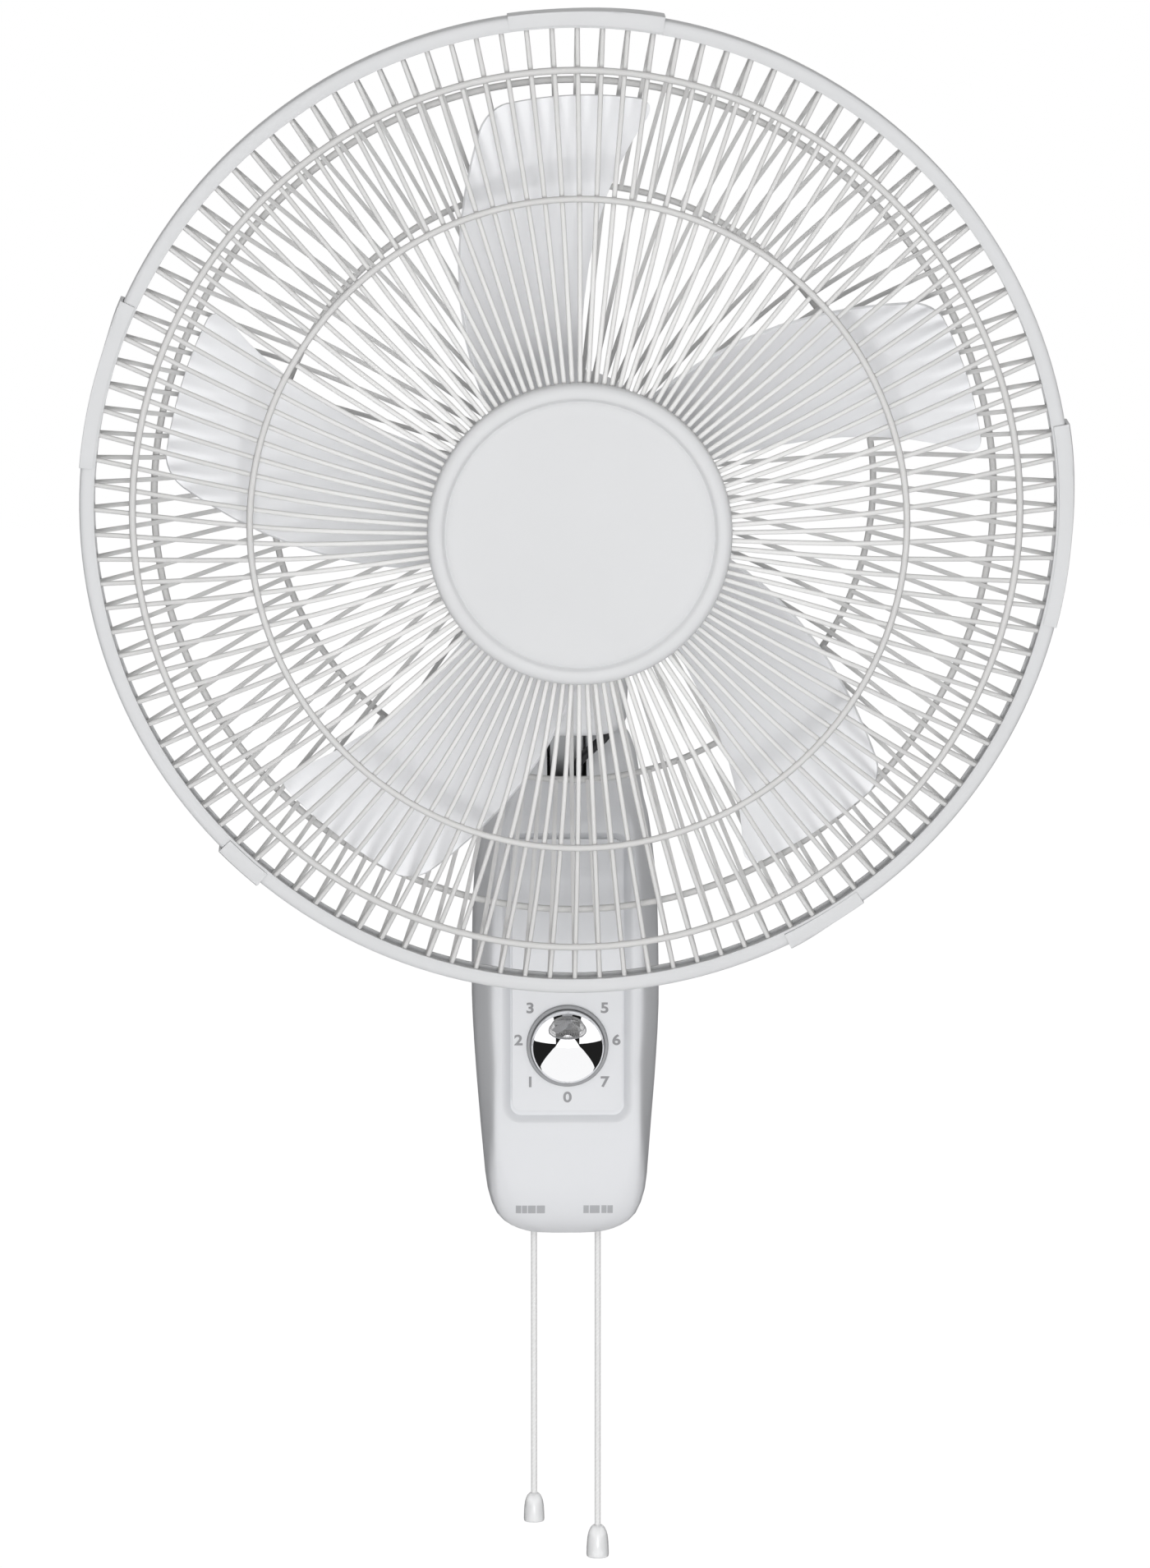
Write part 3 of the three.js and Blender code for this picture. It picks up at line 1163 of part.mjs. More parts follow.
const FINISHES = {
  whitePlastic: { color: 0xe6e8ea, roughness: 0.45, metalness: 0 },
  panelPlastic: { color: 0xe2e4e6, roughness: 0.5, metalness: 0 },
  blade: { color: 0xd8dadc, roughness: 0.35, metalness: 0 },
  wire: { color: 0xdbdad6, roughness: 0.4, metalness: 0.1 },
  chrome: { color: 0xf2f2f2, roughness: 0.06, metalness: 1 },
  greyPlastic: { color: 0x9a9c9e, roughness: 0.5, metalness: 0 },
  blackPlastic: { color: 0x17181a, roughness: 0.5, metalness: 0 },
  blackSteel: { color: 0x202224, roughness: 0.45, metalness: 0.6 },
  steel: { color: 0xb4b6b8, roughness: 0.35, metalness: 1 },
  castAlloy: { color: 0xb9bbbd, roughness: 0.55, metalness: 0.8 },
  core: { color: 0x6d7074, roughness: 0.6, metalness: 0.7 },
  copper: { color: 0xb8693a, roughness: 0.45, metalness: 0.8 },
  cord: { color: 0xe4e4e2, roughness: 0.7, metalness: 0 },
  bell: { color: 0xeceeee, roughness: 0.2, metalness: 0 },
};

const group = new THREE.Group();
const base = new THREE.Group();
const head = new THREE.Group();
head.position.set(0, HEAD_Y, HEAD_Z);
head.rotation.x = TURN;
group.add(base, head);

/** Adds a named piece with its finish to a group. */
function add(parent, name, finish, geometry) {
  const mesh = new THREE.Mesh(tidy(geometry), new THREE.MeshStandardMaterial(FINISHES[finish]));
  mesh.name = name;
  parent.add(mesh);
}

add(base, 'wall_plate', 'steel', wallPlate());
add(base, 'rear_housing', 'whitePlastic', rearHousing());
add(base, 'front_housing', 'whitePlastic', frontHousing());
SCREW_PLACES.forEach((place, k) => add(base, `housing_screw_${k + 1}`, 'steel', housingScrew(place)));
add(base, 'control_plate', 'panelPlastic', controlPlate());
add(base, 'timer_body', 'greyPlastic', timerBody());
add(base, 'knob_bezel', 'greyPlastic', knobBezel());
add(base, 'timer_knob', 'chrome', timerKnob());
add(base, 'timer_shaft', 'steel', timerShaft());
add(base, 'speed_switch', 'blackPlastic', pullSwitch(-1));
add(base, 'swing_switch', 'blackPlastic', pullSwitch(1));
add(base, 'speed_cord', 'cord', tube(cordRoute(-1, SPEED_CORD_END), CORD_R, CORD_SIDES, 18));
add(base, 'swing_cord', 'cord', tube(cordRoute(1, SWING_CORD_END), CORD_R, CORD_SIDES, 18));
add(base, 'speed_bell', 'bell', bell(-1, SPEED_CORD_END));
add(base, 'swing_bell', 'bell', bell(1, SWING_CORD_END));
add(base, 'cable_gland', 'blackPlastic', cableGland());
add(base, 'run_capacitor', 'blackPlastic', backBlock(CAPACITOR));
add(base, 'terminal_block', 'greyPlastic', backBlock(TERMINALS));
add(base, 'tilt_bracket', 'blackSteel', tiltBracket());
add(base, 'tilt_bolt', 'steel', tiltBolt());
add(base, 'tilt_nut', 'steel', tiltNut());
add(base, 'tilt_washer_left', 'blackPlastic', tiltWasher(-1));
add(base, 'tilt_washer_right', 'blackPlastic', tiltWasher(1));
add(base, 'motor_lead', 'blackPlastic', tube(LEAD_ROUTE, LEAD_R, 8, 14));

add(head, 'neck_frame', 'castAlloy', neckFrame());
add(head, 'neck_shell', 'whitePlastic', neckShell());
add(head, 'swing_motor', 'steel', swingMotor());
add(head, 'swing_bush', 'castAlloy', swingBush());
add(head, 'swing_post', 'steel', swingPost());
add(head, 'swing_crank', 'steel', swingCrank());
add(head, 'swing_link', 'steel', swingLink());

add(head, 'motor_cradle', 'castAlloy', motorCradle());
add(head, 'front_shield', 'castAlloy', frontShield());
add(head, 'rear_shield', 'castAlloy', rearShield());
add(head, 'stator_core', 'core', ring(WINDING_R + SEAT, STATOR_R, STATOR_FRONT,
  STATOR_FRONT + STATOR_LENGTH, PLAIN));
add(head, 'stator_winding', 'copper', statorWinding());
const frontBearing = MOTOR_FRONT - MOTOR_BOSS_LENGTH + 1;
const rearBearing = REAR_SHIELD_END - SHIELD_WALL - BEARING_WIDTH - SEAT;
add(head, 'front_bearing', 'steel', ring(SHAFT_R + RUN, BEARING_R, frontBearing, frontBearing + BEARING_WIDTH));
add(head, 'rear_bearing', 'steel', ring(SHAFT_R + RUN, BEARING_R, rearBearing, rearBearing + BEARING_WIDTH));
add(head, 'motor_cover', 'whitePlastic', motorCover());

add(head, 'rear_hub_plate', 'wire', rearHubPlate());
add(head, 'guard_nut', 'whitePlastic', guardNut());
add(head, 'rear_grille', 'wire', grille(REAR_STATIONS, (wire) => wire % 2));
add(head, 'rear_mid_ring', 'wire', weldedRing(REAR_STATIONS, REAR_MID_RING_R, -1, BROAD));
add(head, 'rear_outer_ring', 'wire', weldedRing(REAR_STATIONS, REAR_SHOULDER_R, -1, FINE));
add(head, 'front_grille', 'wire', grille(FRONT_STATIONS, () => 0));
add(head, 'front_mid_ring', 'wire', weldedRing(FRONT_STATIONS, FRONT_MID_RING_R, 1, BROAD));
add(head, 'front_outer_ring', 'wire', weldedRing(FRONT_STATIONS, FRONT_SHOULDER_R, 1, FINE));
add(head, 'front_hub_ring', 'whitePlastic', frontHubRing());
add(head, 'centre_cap', 'whitePlastic', centreCap());
add(head, 'rim_band', 'whitePlastic', rimBand());
CLIPS.forEach(([start, span], k) => add(head, `rim_clip_${k + 1}`, 'whitePlastic', rimClip(start, span)));

add(head, 'fan_blade', 'blade', fanBlade());
add(head, 'motor_shaft', 'steel', motorShaft());
add(head, 'rotor_core', 'core', ring(SHAFT_R + SEAT, ROTOR_R, STATOR_FRONT,
  STATOR_FRONT + STATOR_LENGTH, PLAIN));
add(head, 'spinner_nut', 'whitePlastic', spinnerNut());

export default group;
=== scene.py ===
"""Dresses a wall fan: a column with a knob and two pull cords, a tilting neck and a caged head."""
import logging
import math
from dataclasses import dataclass
from enum import Enum
from functools import partial
from typing import ClassVar, Dict, List, Sequence, Tuple, Union

import bpy
from mathutils import Matrix, Vector


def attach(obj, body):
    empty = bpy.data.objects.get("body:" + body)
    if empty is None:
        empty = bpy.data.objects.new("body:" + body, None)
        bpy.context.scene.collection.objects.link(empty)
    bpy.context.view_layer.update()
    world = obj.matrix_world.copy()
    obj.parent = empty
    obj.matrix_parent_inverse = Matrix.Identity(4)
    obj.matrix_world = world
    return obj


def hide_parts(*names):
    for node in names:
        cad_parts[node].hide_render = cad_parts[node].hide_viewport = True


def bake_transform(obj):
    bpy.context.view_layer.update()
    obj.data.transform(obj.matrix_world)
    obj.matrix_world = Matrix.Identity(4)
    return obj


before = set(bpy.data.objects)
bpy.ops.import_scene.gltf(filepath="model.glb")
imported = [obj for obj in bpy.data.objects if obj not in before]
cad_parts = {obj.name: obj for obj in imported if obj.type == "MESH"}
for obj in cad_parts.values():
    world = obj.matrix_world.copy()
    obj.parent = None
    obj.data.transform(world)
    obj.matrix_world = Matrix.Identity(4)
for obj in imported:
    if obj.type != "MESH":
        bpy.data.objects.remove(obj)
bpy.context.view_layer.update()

log = logging.getLogger("wall_fan")

Place = Tuple[float, float, float]
Pair = Tuple[float, float]
Value = Union[float, bpy.types.NodeSocket]

MM = 0.001
PICTURE = (1400.0, 1909.0)  # the photograph, in pixels
SENSOR = 24.0  # height of the camera's sensor, in millimetres
MERGE = 0.000002  # points nearer to each other than this are one, in metres
CORD_ACROSS = 15.7  # how far the pull cords hang from the middle, in millimetres
CORD_DEPTH = -60.0  # and how far in front of the wall
SWING_AXIS = 150.0  # how far the swing axis stands behind the rim, in millimetres
LIT = Vector((0.0, -0.2, 0.15))  # what the lamps point at, in metres
HEAD_TILT = math.radians(6.0)
HEAD_ORIGIN = Vector((0.0, -0.260, 0.240))
FACING = Matrix.Rotation(math.radians(90.0), 4, "X")
HEAD = Matrix.Translation(HEAD_ORIGIN) @ Matrix.Rotation(HEAD_TILT, 4, "X")
HEAD_AXIS = HEAD @ FACING


class Body(Enum):
    """The moving bodies that pieces ride on."""

    BASE = "wall_base"
    KNOB = "knob"
    SPEED = "speed_pull"
    SWING = "swing_pull"
    NECK = "neck"
    HEAD = "head"
    ROTOR = "rotor"


class Ending(Enum):
    """How a turned piece closes at its first and last loops."""

    DISC = "disc"
    RING = "ring"


# ---------------------------------------------------------------- finishes


def start_material(name: str) -> Tuple[bpy.types.Material, bpy.types.Node, bpy.types.Node]:
    """Starts a node material on object coordinates.

    Args:
        name: Its name.

    Returns:
        The material, its shader and the mapping node of its coordinates.
    """
    material = bpy.data.materials.new(name)
    material.use_nodes = True
    tree = material.node_tree
    place = tree.nodes.new("ShaderNodeTexCoord")
    turn = tree.nodes.new("ShaderNodeMapping")
    tree.links.new(place.outputs["Object"], turn.inputs["Vector"])
    return material, tree.nodes["Principled BSDF"], turn


@dataclass(frozen=True)
class Finish:
    """A surface finish with its own colour, gloss and fine grain.

    Attributes:
        name: The material's name.
        colour: Base colour, linear.
        roughness: Middle roughness.
        metallic: 1 for bare metal.
        grain: Size of the fine grain, in cells per metre.
        bump: Depth of the grain, in metres.
        mottle: Share by which the colour varies.
        coat: Clear coat weight.
        translucent: Share of light let through.
        stretch: How the grain is drawn out along each axis.
        spread: How far the roughness strays from its middle.
        cloud: Size of the colour's clouds, in cells per metre.
        patch: Size of the gloss's patches, in cells per metre.
    """

    name: str
    colour: Place
    roughness: float
    metallic: float = 0.0
    grain: float = 900.0
    bump: float = 0.00002
    mottle: float = 0.02
    coat: float = 0.0
    translucent: float = 0.0
    stretch: Place = (1.0, 1.0, 1.0)
    spread: float = 0.06
    cloud: float = 14.0
    patch: float = 45.0

    def make(self) -> bpy.types.Material:
        """Builds the material once and returns it.

        Returns:
            The node material of this finish.
        """
        known = bpy.data.materials.get(self.name)
        if known is not None:
            return known
        material, shader, turn = start_material(self.name)
        shader.inputs["Metallic"].default_value = self.metallic
        shader.inputs["Coat Weight"].default_value = self.coat
        shader.inputs["Coat Roughness"].default_value = 0.12
        shader.inputs["Transmission Weight"].default_value = self.translucent
        turn.inputs["Scale"].default_value = self.stretch
        self._colour(material.node_tree, turn, shader)
        self._surface(material.node_tree, turn, shader)
        return material

    @staticmethod
    def _noise(tree: bpy.types.NodeTree, turn: bpy.types.Node, scale: float,
               detail: float) -> bpy.types.Node:
        """Adds a noise texture on object coordinates.

        Args:
            tree: The material's node tree.
            turn: The mapping node that feeds it.
            scale: Cells per metre.
            detail: Octaves.

        Returns:
            The noise node.
        """
        noise = tree.nodes.new("ShaderNodeTexNoise")
        noise.inputs["Scale"].default_value = scale
        noise.inputs["Detail"].default_value = detail
        tree.links.new(turn.outputs["Vector"], noise.inputs["Vector"])
        return noise

    def _colour(self, tree: bpy.types.NodeTree, turn: bpy.types.Node,
                shader: bpy.types.Node) -> None:
        """Varies the colour softly from place to place.

        Args:
            tree: The material's node tree.
            turn: The mapping node that feeds it.
            shader: The Principled shader.
        """
        cloud = self._noise(tree, turn, self.cloud, 3.0)
        ramp = tree.nodes.new("ShaderNodeValToRGB")
        ends = ((0.3, 1.0 - self.mottle), (0.7, 1.0 + self.mottle))
        for element, (position, share) in zip(ramp.color_ramp.elements, ends):
            element.position = position
            element.color = (*[min(1.0, channel * share) for channel in self.colour], 1.0)
        tree.links.new(cloud.outputs["Fac"], ramp.inputs["Fac"])
        tree.links.new(ramp.outputs["Color"], shader.inputs["Base Color"])

    def _surface(self, tree: bpy.types.NodeTree, turn: bpy.types.Node,
                 shader: bpy.types.Node) -> None:
        """Adds the fine grain and its uneven gloss.

        Args:
            tree: The material's node tree.
            turn: The mapping node that feeds it.
            shader: The Principled shader.
        """
        fine = self._noise(tree, turn, self.grain, 4.0)
        wide = self._noise(tree, turn, self.patch, 2.0)
        gloss = tree.nodes.new("ShaderNodeMapRange")
        gloss.inputs["To Min"].default_value = max(0.0, self.roughness - self.spread)
        gloss.inputs["To Max"].default_value = min(1.0, self.roughness + self.spread)
        tree.links.new(wide.outputs["Fac"], gloss.inputs["Value"])
        tree.links.new(gloss.outputs["Result"], shader.inputs["Roughness"])
        bump = tree.nodes.new("ShaderNodeBump")
        bump.inputs["Distance"].default_value = self.bump
        bump.inputs["Strength"].default_value = 0.6
        tree.links.new(fine.outputs["Fac"], bump.inputs["Height"])
        tree.links.new(bump.outputs["Normal"], shader.inputs["Normal"])


@dataclass(frozen=True)
class CordFinish:
    """A twisted white cord: strands that wind round its line.

    Attributes:
        name: The material's name.
        colour: Base colour, linear.
        pitch: Length of one twist, in metres.
        lay: Slant of the strands, in degrees.
        groove: Depth between the strands, in metres.
        shade: How bright the grooves are: painted shade between the strands.
        roughness: Roughness.
    """

    name: str
    colour: Place
    pitch: float = 0.0016
    lay: float = 38.0
    groove: float = 0.00006
    shade: float = 0.95
    roughness: float = 0.75

    def make(self) -> bpy.types.Material:
        """Builds the material once and returns it.

        Returns:
            The node material of the cord.
        """
        known = bpy.data.materials.get(self.name)
        if known is not None:
            return known
        material, shader, turn = start_material(self.name)
        tree = material.node_tree
        shader.inputs["Roughness"].default_value = self.roughness
        shader.inputs["Sheen Weight"].default_value = 0.3
        turn.inputs["Rotation"].default_value = (0.0, math.radians(self.lay), 0.0)
        wave = tree.nodes.new("ShaderNodeTexWave")
        wave.bands_direction = "Z"
        wave.inputs["Scale"].default_value = 0.314 / self.pitch
        wave.inputs["Distortion"].default_value = 0.6
        tree.links.new(turn.outputs["Vector"], wave.inputs["Vector"])
        ramp = tree.nodes.new("ShaderNodeValToRGB")
        # Painted shade: the grooves between the strands are coloured darker.
        groove_shade = [channel * self.shade for channel in self.colour]
        ramp.color_ramp.elements[0].color = (*groove_shade, 1.0)
        ramp.color_ramp.elements[1].color = (*self.colour, 1.0)
        tree.links.new(wave.outputs["Fac"], ramp.inputs["Fac"])
        tree.links.new(ramp.outputs["Color"], shader.inputs["Base Color"])
        bump = tree.nodes.new("ShaderNodeBump")
        bump.inputs["Distance"].default_value = self.groove
        tree.links.new(wave.outputs["Fac"], bump.inputs["Height"])
        tree.links.new(bump.outputs["Normal"], shader.inputs["Normal"])
        return material


MOULDED = partial(Finish, grain=1400.0, bump=0.00001, mottle=0.012)
WIRE = partial(Finish, grain=1800.0, bump=0.00002, mottle=0.02)

WHITE = MOULDED("white_moulding", (0.70, 0.708, 0.725), 0.38)
# The neck's white plastic, painted lighter than WHITE to make up for the shade that the head casts
# on it: painted light.
LIGHTENED_WHITE = MOULDED("pale_moulding", (0.90, 0.908, 0.92), 0.38)
PANEL = Finish("panel_moulding", (0.72, 0.728, 0.745), 0.46, grain=2200.0, mottle=0.012)
BLADE = Finish("blade_moulding", (0.88, 0.886, 0.902), 0.34, grain=260.0, bump=0.00003)
# The band's, clips' and cap's white plastic, painted darker than WHITE to stand for the weaker
# light on them: painted shade.
DARKENED_WHITE = MOULDED("cage_moulding", (0.60, 0.605, 0.612), 0.38)
COATED = WIRE("coated_wire", (0.70, 0.697, 0.689), 0.44)
RING = WIRE("coated_ring", (0.585, 0.582, 0.575), 0.46)
CHROME = Finish("bright_chrome", (0.93, 0.93, 0.94), 0.03, metallic=1.0, grain=500.0, bump=0.0,
                mottle=0.01, spread=0.01)
GREY = Finish("grey_moulding", (0.32, 0.325, 0.335), 0.5, grain=1500.0, mottle=0.04)
BLACK = Finish("black_moulding", (0.012, 0.012, 0.014), 0.46, grain=1500.0, mottle=0.1)
# The tilt bracket's black is partly its paint and partly painted shade that darkens the crown's
# slot.
FORK_AND_SLOT_SHADE = Finish("black_painted_steel_and_slot_shade", (0.016, 0.017, 0.019), 0.42, grain=700.0, bump=0.00004,
              mottle=0.12)
STEEL = Finish("plain_steel", (0.52, 0.53, 0.54), 0.32, metallic=1.0, grain=1600.0, mottle=0.08,
               stretch=(1.0, 1.0, 0.15))
ALLOY = Finish("cast_alloy", (0.50, 0.51, 0.52), 0.56, metallic=0.9, grain=1000.0, bump=0.00008,
               mottle=0.08)
LAMINATION = Finish("stacked_steel", (0.16, 0.17, 0.18), 0.55, metallic=0.8, grain=1200.0,
                    mottle=0.15, stretch=(1.0, 4.0, 1.0))
COPPER = Finish("enamelled_wire", (0.46, 0.16, 0.06), 0.35, metallic=0.8, grain=1400.0,
                bump=0.00012, mottle=0.2)
BELL = Finish("clear_white_moulding", (0.95, 0.955, 0.96), 0.12, coat=0.5, translucent=0.25,
              grain=600.0)
INK = Finish("grey_print", (0.30, 0.30, 0.31), 0.6, grain=2500.0, mottle=0.1)
FADED = Finish("faded_print", (0.40, 0.405, 0.42), 0.6, grain=1500.0, mottle=0.12)
TWINE = CordFinish("twisted_cord", (0.78, 0.78, 0.775))


# ---------------------------------------------------------------- bench tools


class Bench:
    """Hand tools for making one piece at a time."""

    @staticmethod
    def clear() -> None:
        """Leaves edit mode and deselects everything."""
        if bpy.context.object is not None and bpy.context.object.mode != "OBJECT":
            bpy.ops.object.mode_set(mode="OBJECT")
        bpy.ops.object.select_all(action="DESELECT")

    @staticmethod
    def pick(piece: bpy.types.Object) -> None:
        """Selects one object alone and makes it active.

        Args:
            piece: The object.
        """
        Bench.clear()
        piece.select_set(True)
        bpy.context.view_layer.objects.active = piece

    @staticmethod
    def edit(select: str = "SELECT") -> None:
        """Enters edit mode with everything selected, or nothing."""
        bpy.ops.object.mode_set(mode="EDIT")
        bpy.ops.mesh.select_all(action=select)

    @staticmethod
    def done() -> None:
        """Leaves edit mode."""
        bpy.ops.object.mode_set(mode="OBJECT")

    @staticmethod
    def named(name: str) -> bpy.types.Object:
        """Names the active object and its mesh.

        Args:
            name: The name of both.

        Returns:
            The active object.
        """
        piece = bpy.context.object
        piece.name = name
        piece.data.name = name
        return piece

    @staticmethod
    def outward(piece: bpy.types.Object) -> None:
        """Merges doubles and turns the faces outwards.

        Args:
            piece: The piece to mend.
        """
        Bench.pick(piece)
        Bench.edit()
        bpy.ops.mesh.remove_doubles(threshold=MERGE)
        bpy.ops.mesh.normals_make_consistent(inside=False)
        Bench.done()

    @staticmethod
    def pick_rims() -> None:
        """Selects the open edges of the mesh in edit mode."""
        bpy.ops.mesh.select_all(action="DESELECT")
        bpy.ops.mesh.select_mode(type="EDGE")
        bpy.ops.mesh.select_non_manifold()

    @staticmethod
    def fill_rims() -> None:
        """Fills the open ends of the mesh in edit mode."""
        Bench.pick_rims()
        bpy.ops.mesh.fill_holes(sides=0)
        bpy.ops.mesh.select_mode(type="VERT")

    @staticmethod
    def smooth(piece: bpy.types.Object, degrees: float = 35.0) -> None:
        """Shades smooth across edges flatter than an angle."""
        Bench.pick(piece)
        bpy.ops.object.shade_smooth_by_angle(angle=math.radians(degrees))

    @staticmethod
    def apply(piece: bpy.types.Object, kind: str, **settings: object) -> None:
        """Adds a modifier with its settings and applies it.

        Args:
            piece: The piece to change.
            kind: The modifier's type.
            settings: Its properties.
        """
        Bench.pick(piece)
        modifier = piece.modifiers.new(kind.lower(), kind)
        for key, value in settings.items():
            setattr(modifier, key, value)
        bpy.ops.object.modifier_apply(modifier=modifier.name)

    @staticmethod
    def soften(piece: bpy.types.Object, width: float, segments: int = 2,
               angle: float = 50.0) -> None:
        """Bevels the edges sharper than an angle in degrees by a width in millimetres."""
        Bench.apply(piece, "BEVEL", width=width * MM, segments=segments, limit_method="ANGLE",
                    angle_limit=math.radians(angle))

    @staticmethod
    def settle(piece: bpy.types.Object, matrix: Matrix) -> None:
        """Moves a piece to its place and puts that place in its mesh.

        Args:
            piece: The piece to move.
            matrix: The move, in metres.
        """
        Bench.pick(piece)
        piece.matrix_world = matrix @ piece.matrix_world
        bpy.ops.object.transform_apply(location=True, rotation=True, scale=True)

    @staticmethod
    def join(pieces: Sequence[bpy.types.Object], name: str) -> bpy.types.Object:
        """Joins pieces into one.

        Args:
            pieces: The pieces, the first of which is kept.
            name: The name of the whole.

        Returns:
            The joined piece.
        """
        Bench.clear()
        for piece in pieces:
            piece.select_set(True)
        bpy.context.view_layer.objects.active = pieces[0]
        if len(pieces) > 1:
            bpy.ops.object.join()
        return Bench.named(name)

    @staticmethod
    def round_copies(piece: bpy.types.Object, count: int, turn: float,
                     name: str) -> bpy.types.Object:
        """Repeats a piece about the local Z axis and joins the copies.

        Args:
            piece: The piece to repeat.
            count: How many there are in the end.
            turn: Angle from one to the next, in radians.
            name: The name of the whole.

        Returns:
            The joined piece.
        """
        copies = [piece]
        for step in range(1, count):
            copy = piece.copy()
            copy.data = piece.data.copy()
            bpy.context.collection.objects.link(copy)
            copy.data.transform(Matrix.Rotation(turn * step, 4, "Z"))
            copies.append(copy)
        return Bench.join(copies, name)

    @staticmethod
    def grid(name: str, rows: Sequence[Sequence[Place]]) -> bpy.types.Object:
        """Lays a grid primitive on rows of points.

        Args:
            name: The piece's name.
            rows: Rows with the same number of points.

        Returns:
            The new piece.
        """
        Bench.clear()
        across, up = len(rows[0]), len(rows)
        bpy.ops.mesh.primitive_grid_add(x_subdivisions=across - 1, y_subdivisions=up - 1, size=1.0)
        piece = Bench.named(name)
        flat = [coordinate for row in rows for point in row for coordinate in point]
        piece.data.vertices.foreach_set("co", flat)
        piece.data.update()
        return piece

    @staticmethod
    def loft(name: str, loops: Sequence[Sequence[Place]]) -> bpy.types.Object:
        """Skins closed loops and fills the two ends.

        Args:
            name: The piece's name.
            loops: Loops with the same number of points.

        Returns:
            The new piece, facing outwards.
        """
        piece = Bench.grid(name, [list(loop) + [loop[0]] for loop in loops])
        Bench.pick(piece)
        Bench.edit()
        bpy.ops.mesh.remove_doubles(threshold=MERGE)
        Bench.fill_rims()
        bpy.ops.mesh.select_all(action="SELECT")
        bpy.ops.mesh.normals_make_consistent(inside=False)
        Bench.done()
        return piece

    @staticmethod
    def turned(name: str, profile: Sequence[Pair], sides: int,
               ending: Ending = Ending.DISC) -> bpy.types.Object:
        """Turns a profile about local Z: a circle, extruded and resized from point to point.

        Args:
            name: The piece's name.
            profile: Radius and height of each point, in millimetres.
            sides: Sides of the circle.
            ending: What happens at the first and last loops.

        Returns:
            The new piece, facing outwards.
        """
        Bench.clear()
        first_radius, first_height = profile[0]
        bpy.ops.mesh.primitive_circle_add(vertices=sides, radius=first_radius * MM,
                                          location=(0.0, 0.0, first_height * MM))
        piece = Bench.named(name)
        bpy.ops.object.transform_apply(location=True, rotation=False, scale=False)
        Bench.edit()
        if ending is Ending.DISC:
            bpy.ops.mesh.edge_face_add()
        for (radius, height), (next_radius, next_height) in zip(profile, profile[1:]):
            shift = (0.0, 0.0, (next_height - height) * MM)
            bpy.ops.mesh.extrude_region_move(TRANSFORM_OT_translate={"value": shift})
            scale = next_radius / radius
            bpy.ops.transform.resize(value=(scale, scale, 1.0),
                                     center_override=(0.0, 0.0, next_height * MM))
        if ending is Ending.RING:
            Bench.pick_rims()
            bpy.ops.mesh.bridge_edge_loops()
            bpy.ops.mesh.select_mode(type="VERT")
        Bench.done()
        Bench.outward(piece)
        return piece

    @staticmethod
    def bar(name: str, radius: float, ends: Pair, sides: int,
            place: Place = (0.0, 0.0, 0.0)) -> bpy.types.Object:
        """Makes a closed round bar along local Z.

        Args:
            name: The bar's name.
            radius: Its radius, in millimetres.
            ends: Heights of its ends, in millimetres.
            sides: Sides of its circle.
            place: Where it is moved to, in metres.

        Returns:
            The bar.
        """
        bar = Bench.turned(name, [(radius, end) for end in ends], sides)
        Bench.pick(bar)
        Bench.edit()
        Bench.fill_rims()
        Bench.done()
        Bench.outward(bar)
        bar.data.transform(Matrix.Translation(place))
        return bar

    @staticmethod
    def swept(name: str, section: Sequence[Pair], start: float, span: float,
              steps: int) -> bpy.types.Object:
        """Spins a closed section about local Z.

        Args:
            name: The piece's name.
            section: Radius and height of its corners, in millimetres.
            start: Angle where it starts, in degrees.
            span: Angle that it goes over, in degrees.
            steps: Number of steps.

        Returns:
            The new piece, facing outwards.
        """
        Bench.clear()
        bpy.ops.mesh.primitive_circle_add(vertices=len(section), radius=0.01, fill_type="NGON")
        piece = Bench.named(name)
        turn = math.radians(start)
        for vertex, (radius, height) in zip(piece.data.vertices, section):
            vertex.co = (radius * MM * math.cos(turn), radius * MM * math.sin(turn), height * MM)
        Bench.edit()
        bpy.ops.mesh.spin(steps=steps, angle=math.radians(span), center=(0.0, 0.0, 0.0),
                          axis=(0.0, 0.0, -1.0))
        Bench.done()
        Bench.outward(piece)
        return piece

    @staticmethod
    def block(name: str, low: Place, high: Place) -> bpy.types.Object:
        """Adds a cube primitive between two corners.

        Args:
            name: The piece's name.
            low: Its lower corner, in millimetres.
            high: Its upper corner.

        Returns:
            The new piece.
        """
        Bench.clear()
        bpy.ops.mesh.primitive_cube_add(size=1.0)
        piece = Bench.named(name)
        size = [(b - a) * MM for a, b in zip(low, high)]
        middle = [(a + b) / 2 * MM for a, b in zip(low, high)]
        piece.data.transform(Matrix.Translation(middle) @ Matrix.Diagonal((*size, 1.0)))
        return piece

    @staticmethod
    def blocks(name: str, low: Place, high: Place, count: int,
               first: float = 0.0) -> List[bpy.types.Object]:
        """Repeats a block about local Z.

        Args:
            name: What the blocks are called.
            low: Lower corner of the first, in millimetres.
            high: Its upper corner.
            count: How many there are.
            first: Share of a step that all are turned by.

        Returns:
            The blocks.
        """
        made = []
        for number in range(count):
            block = Bench.block(f"{name}_{number}", low, high)
            block.data.transform(Matrix.Rotation(math.tau * (number + first) / count, 4, "Z"))
            made.append(block)
        return made

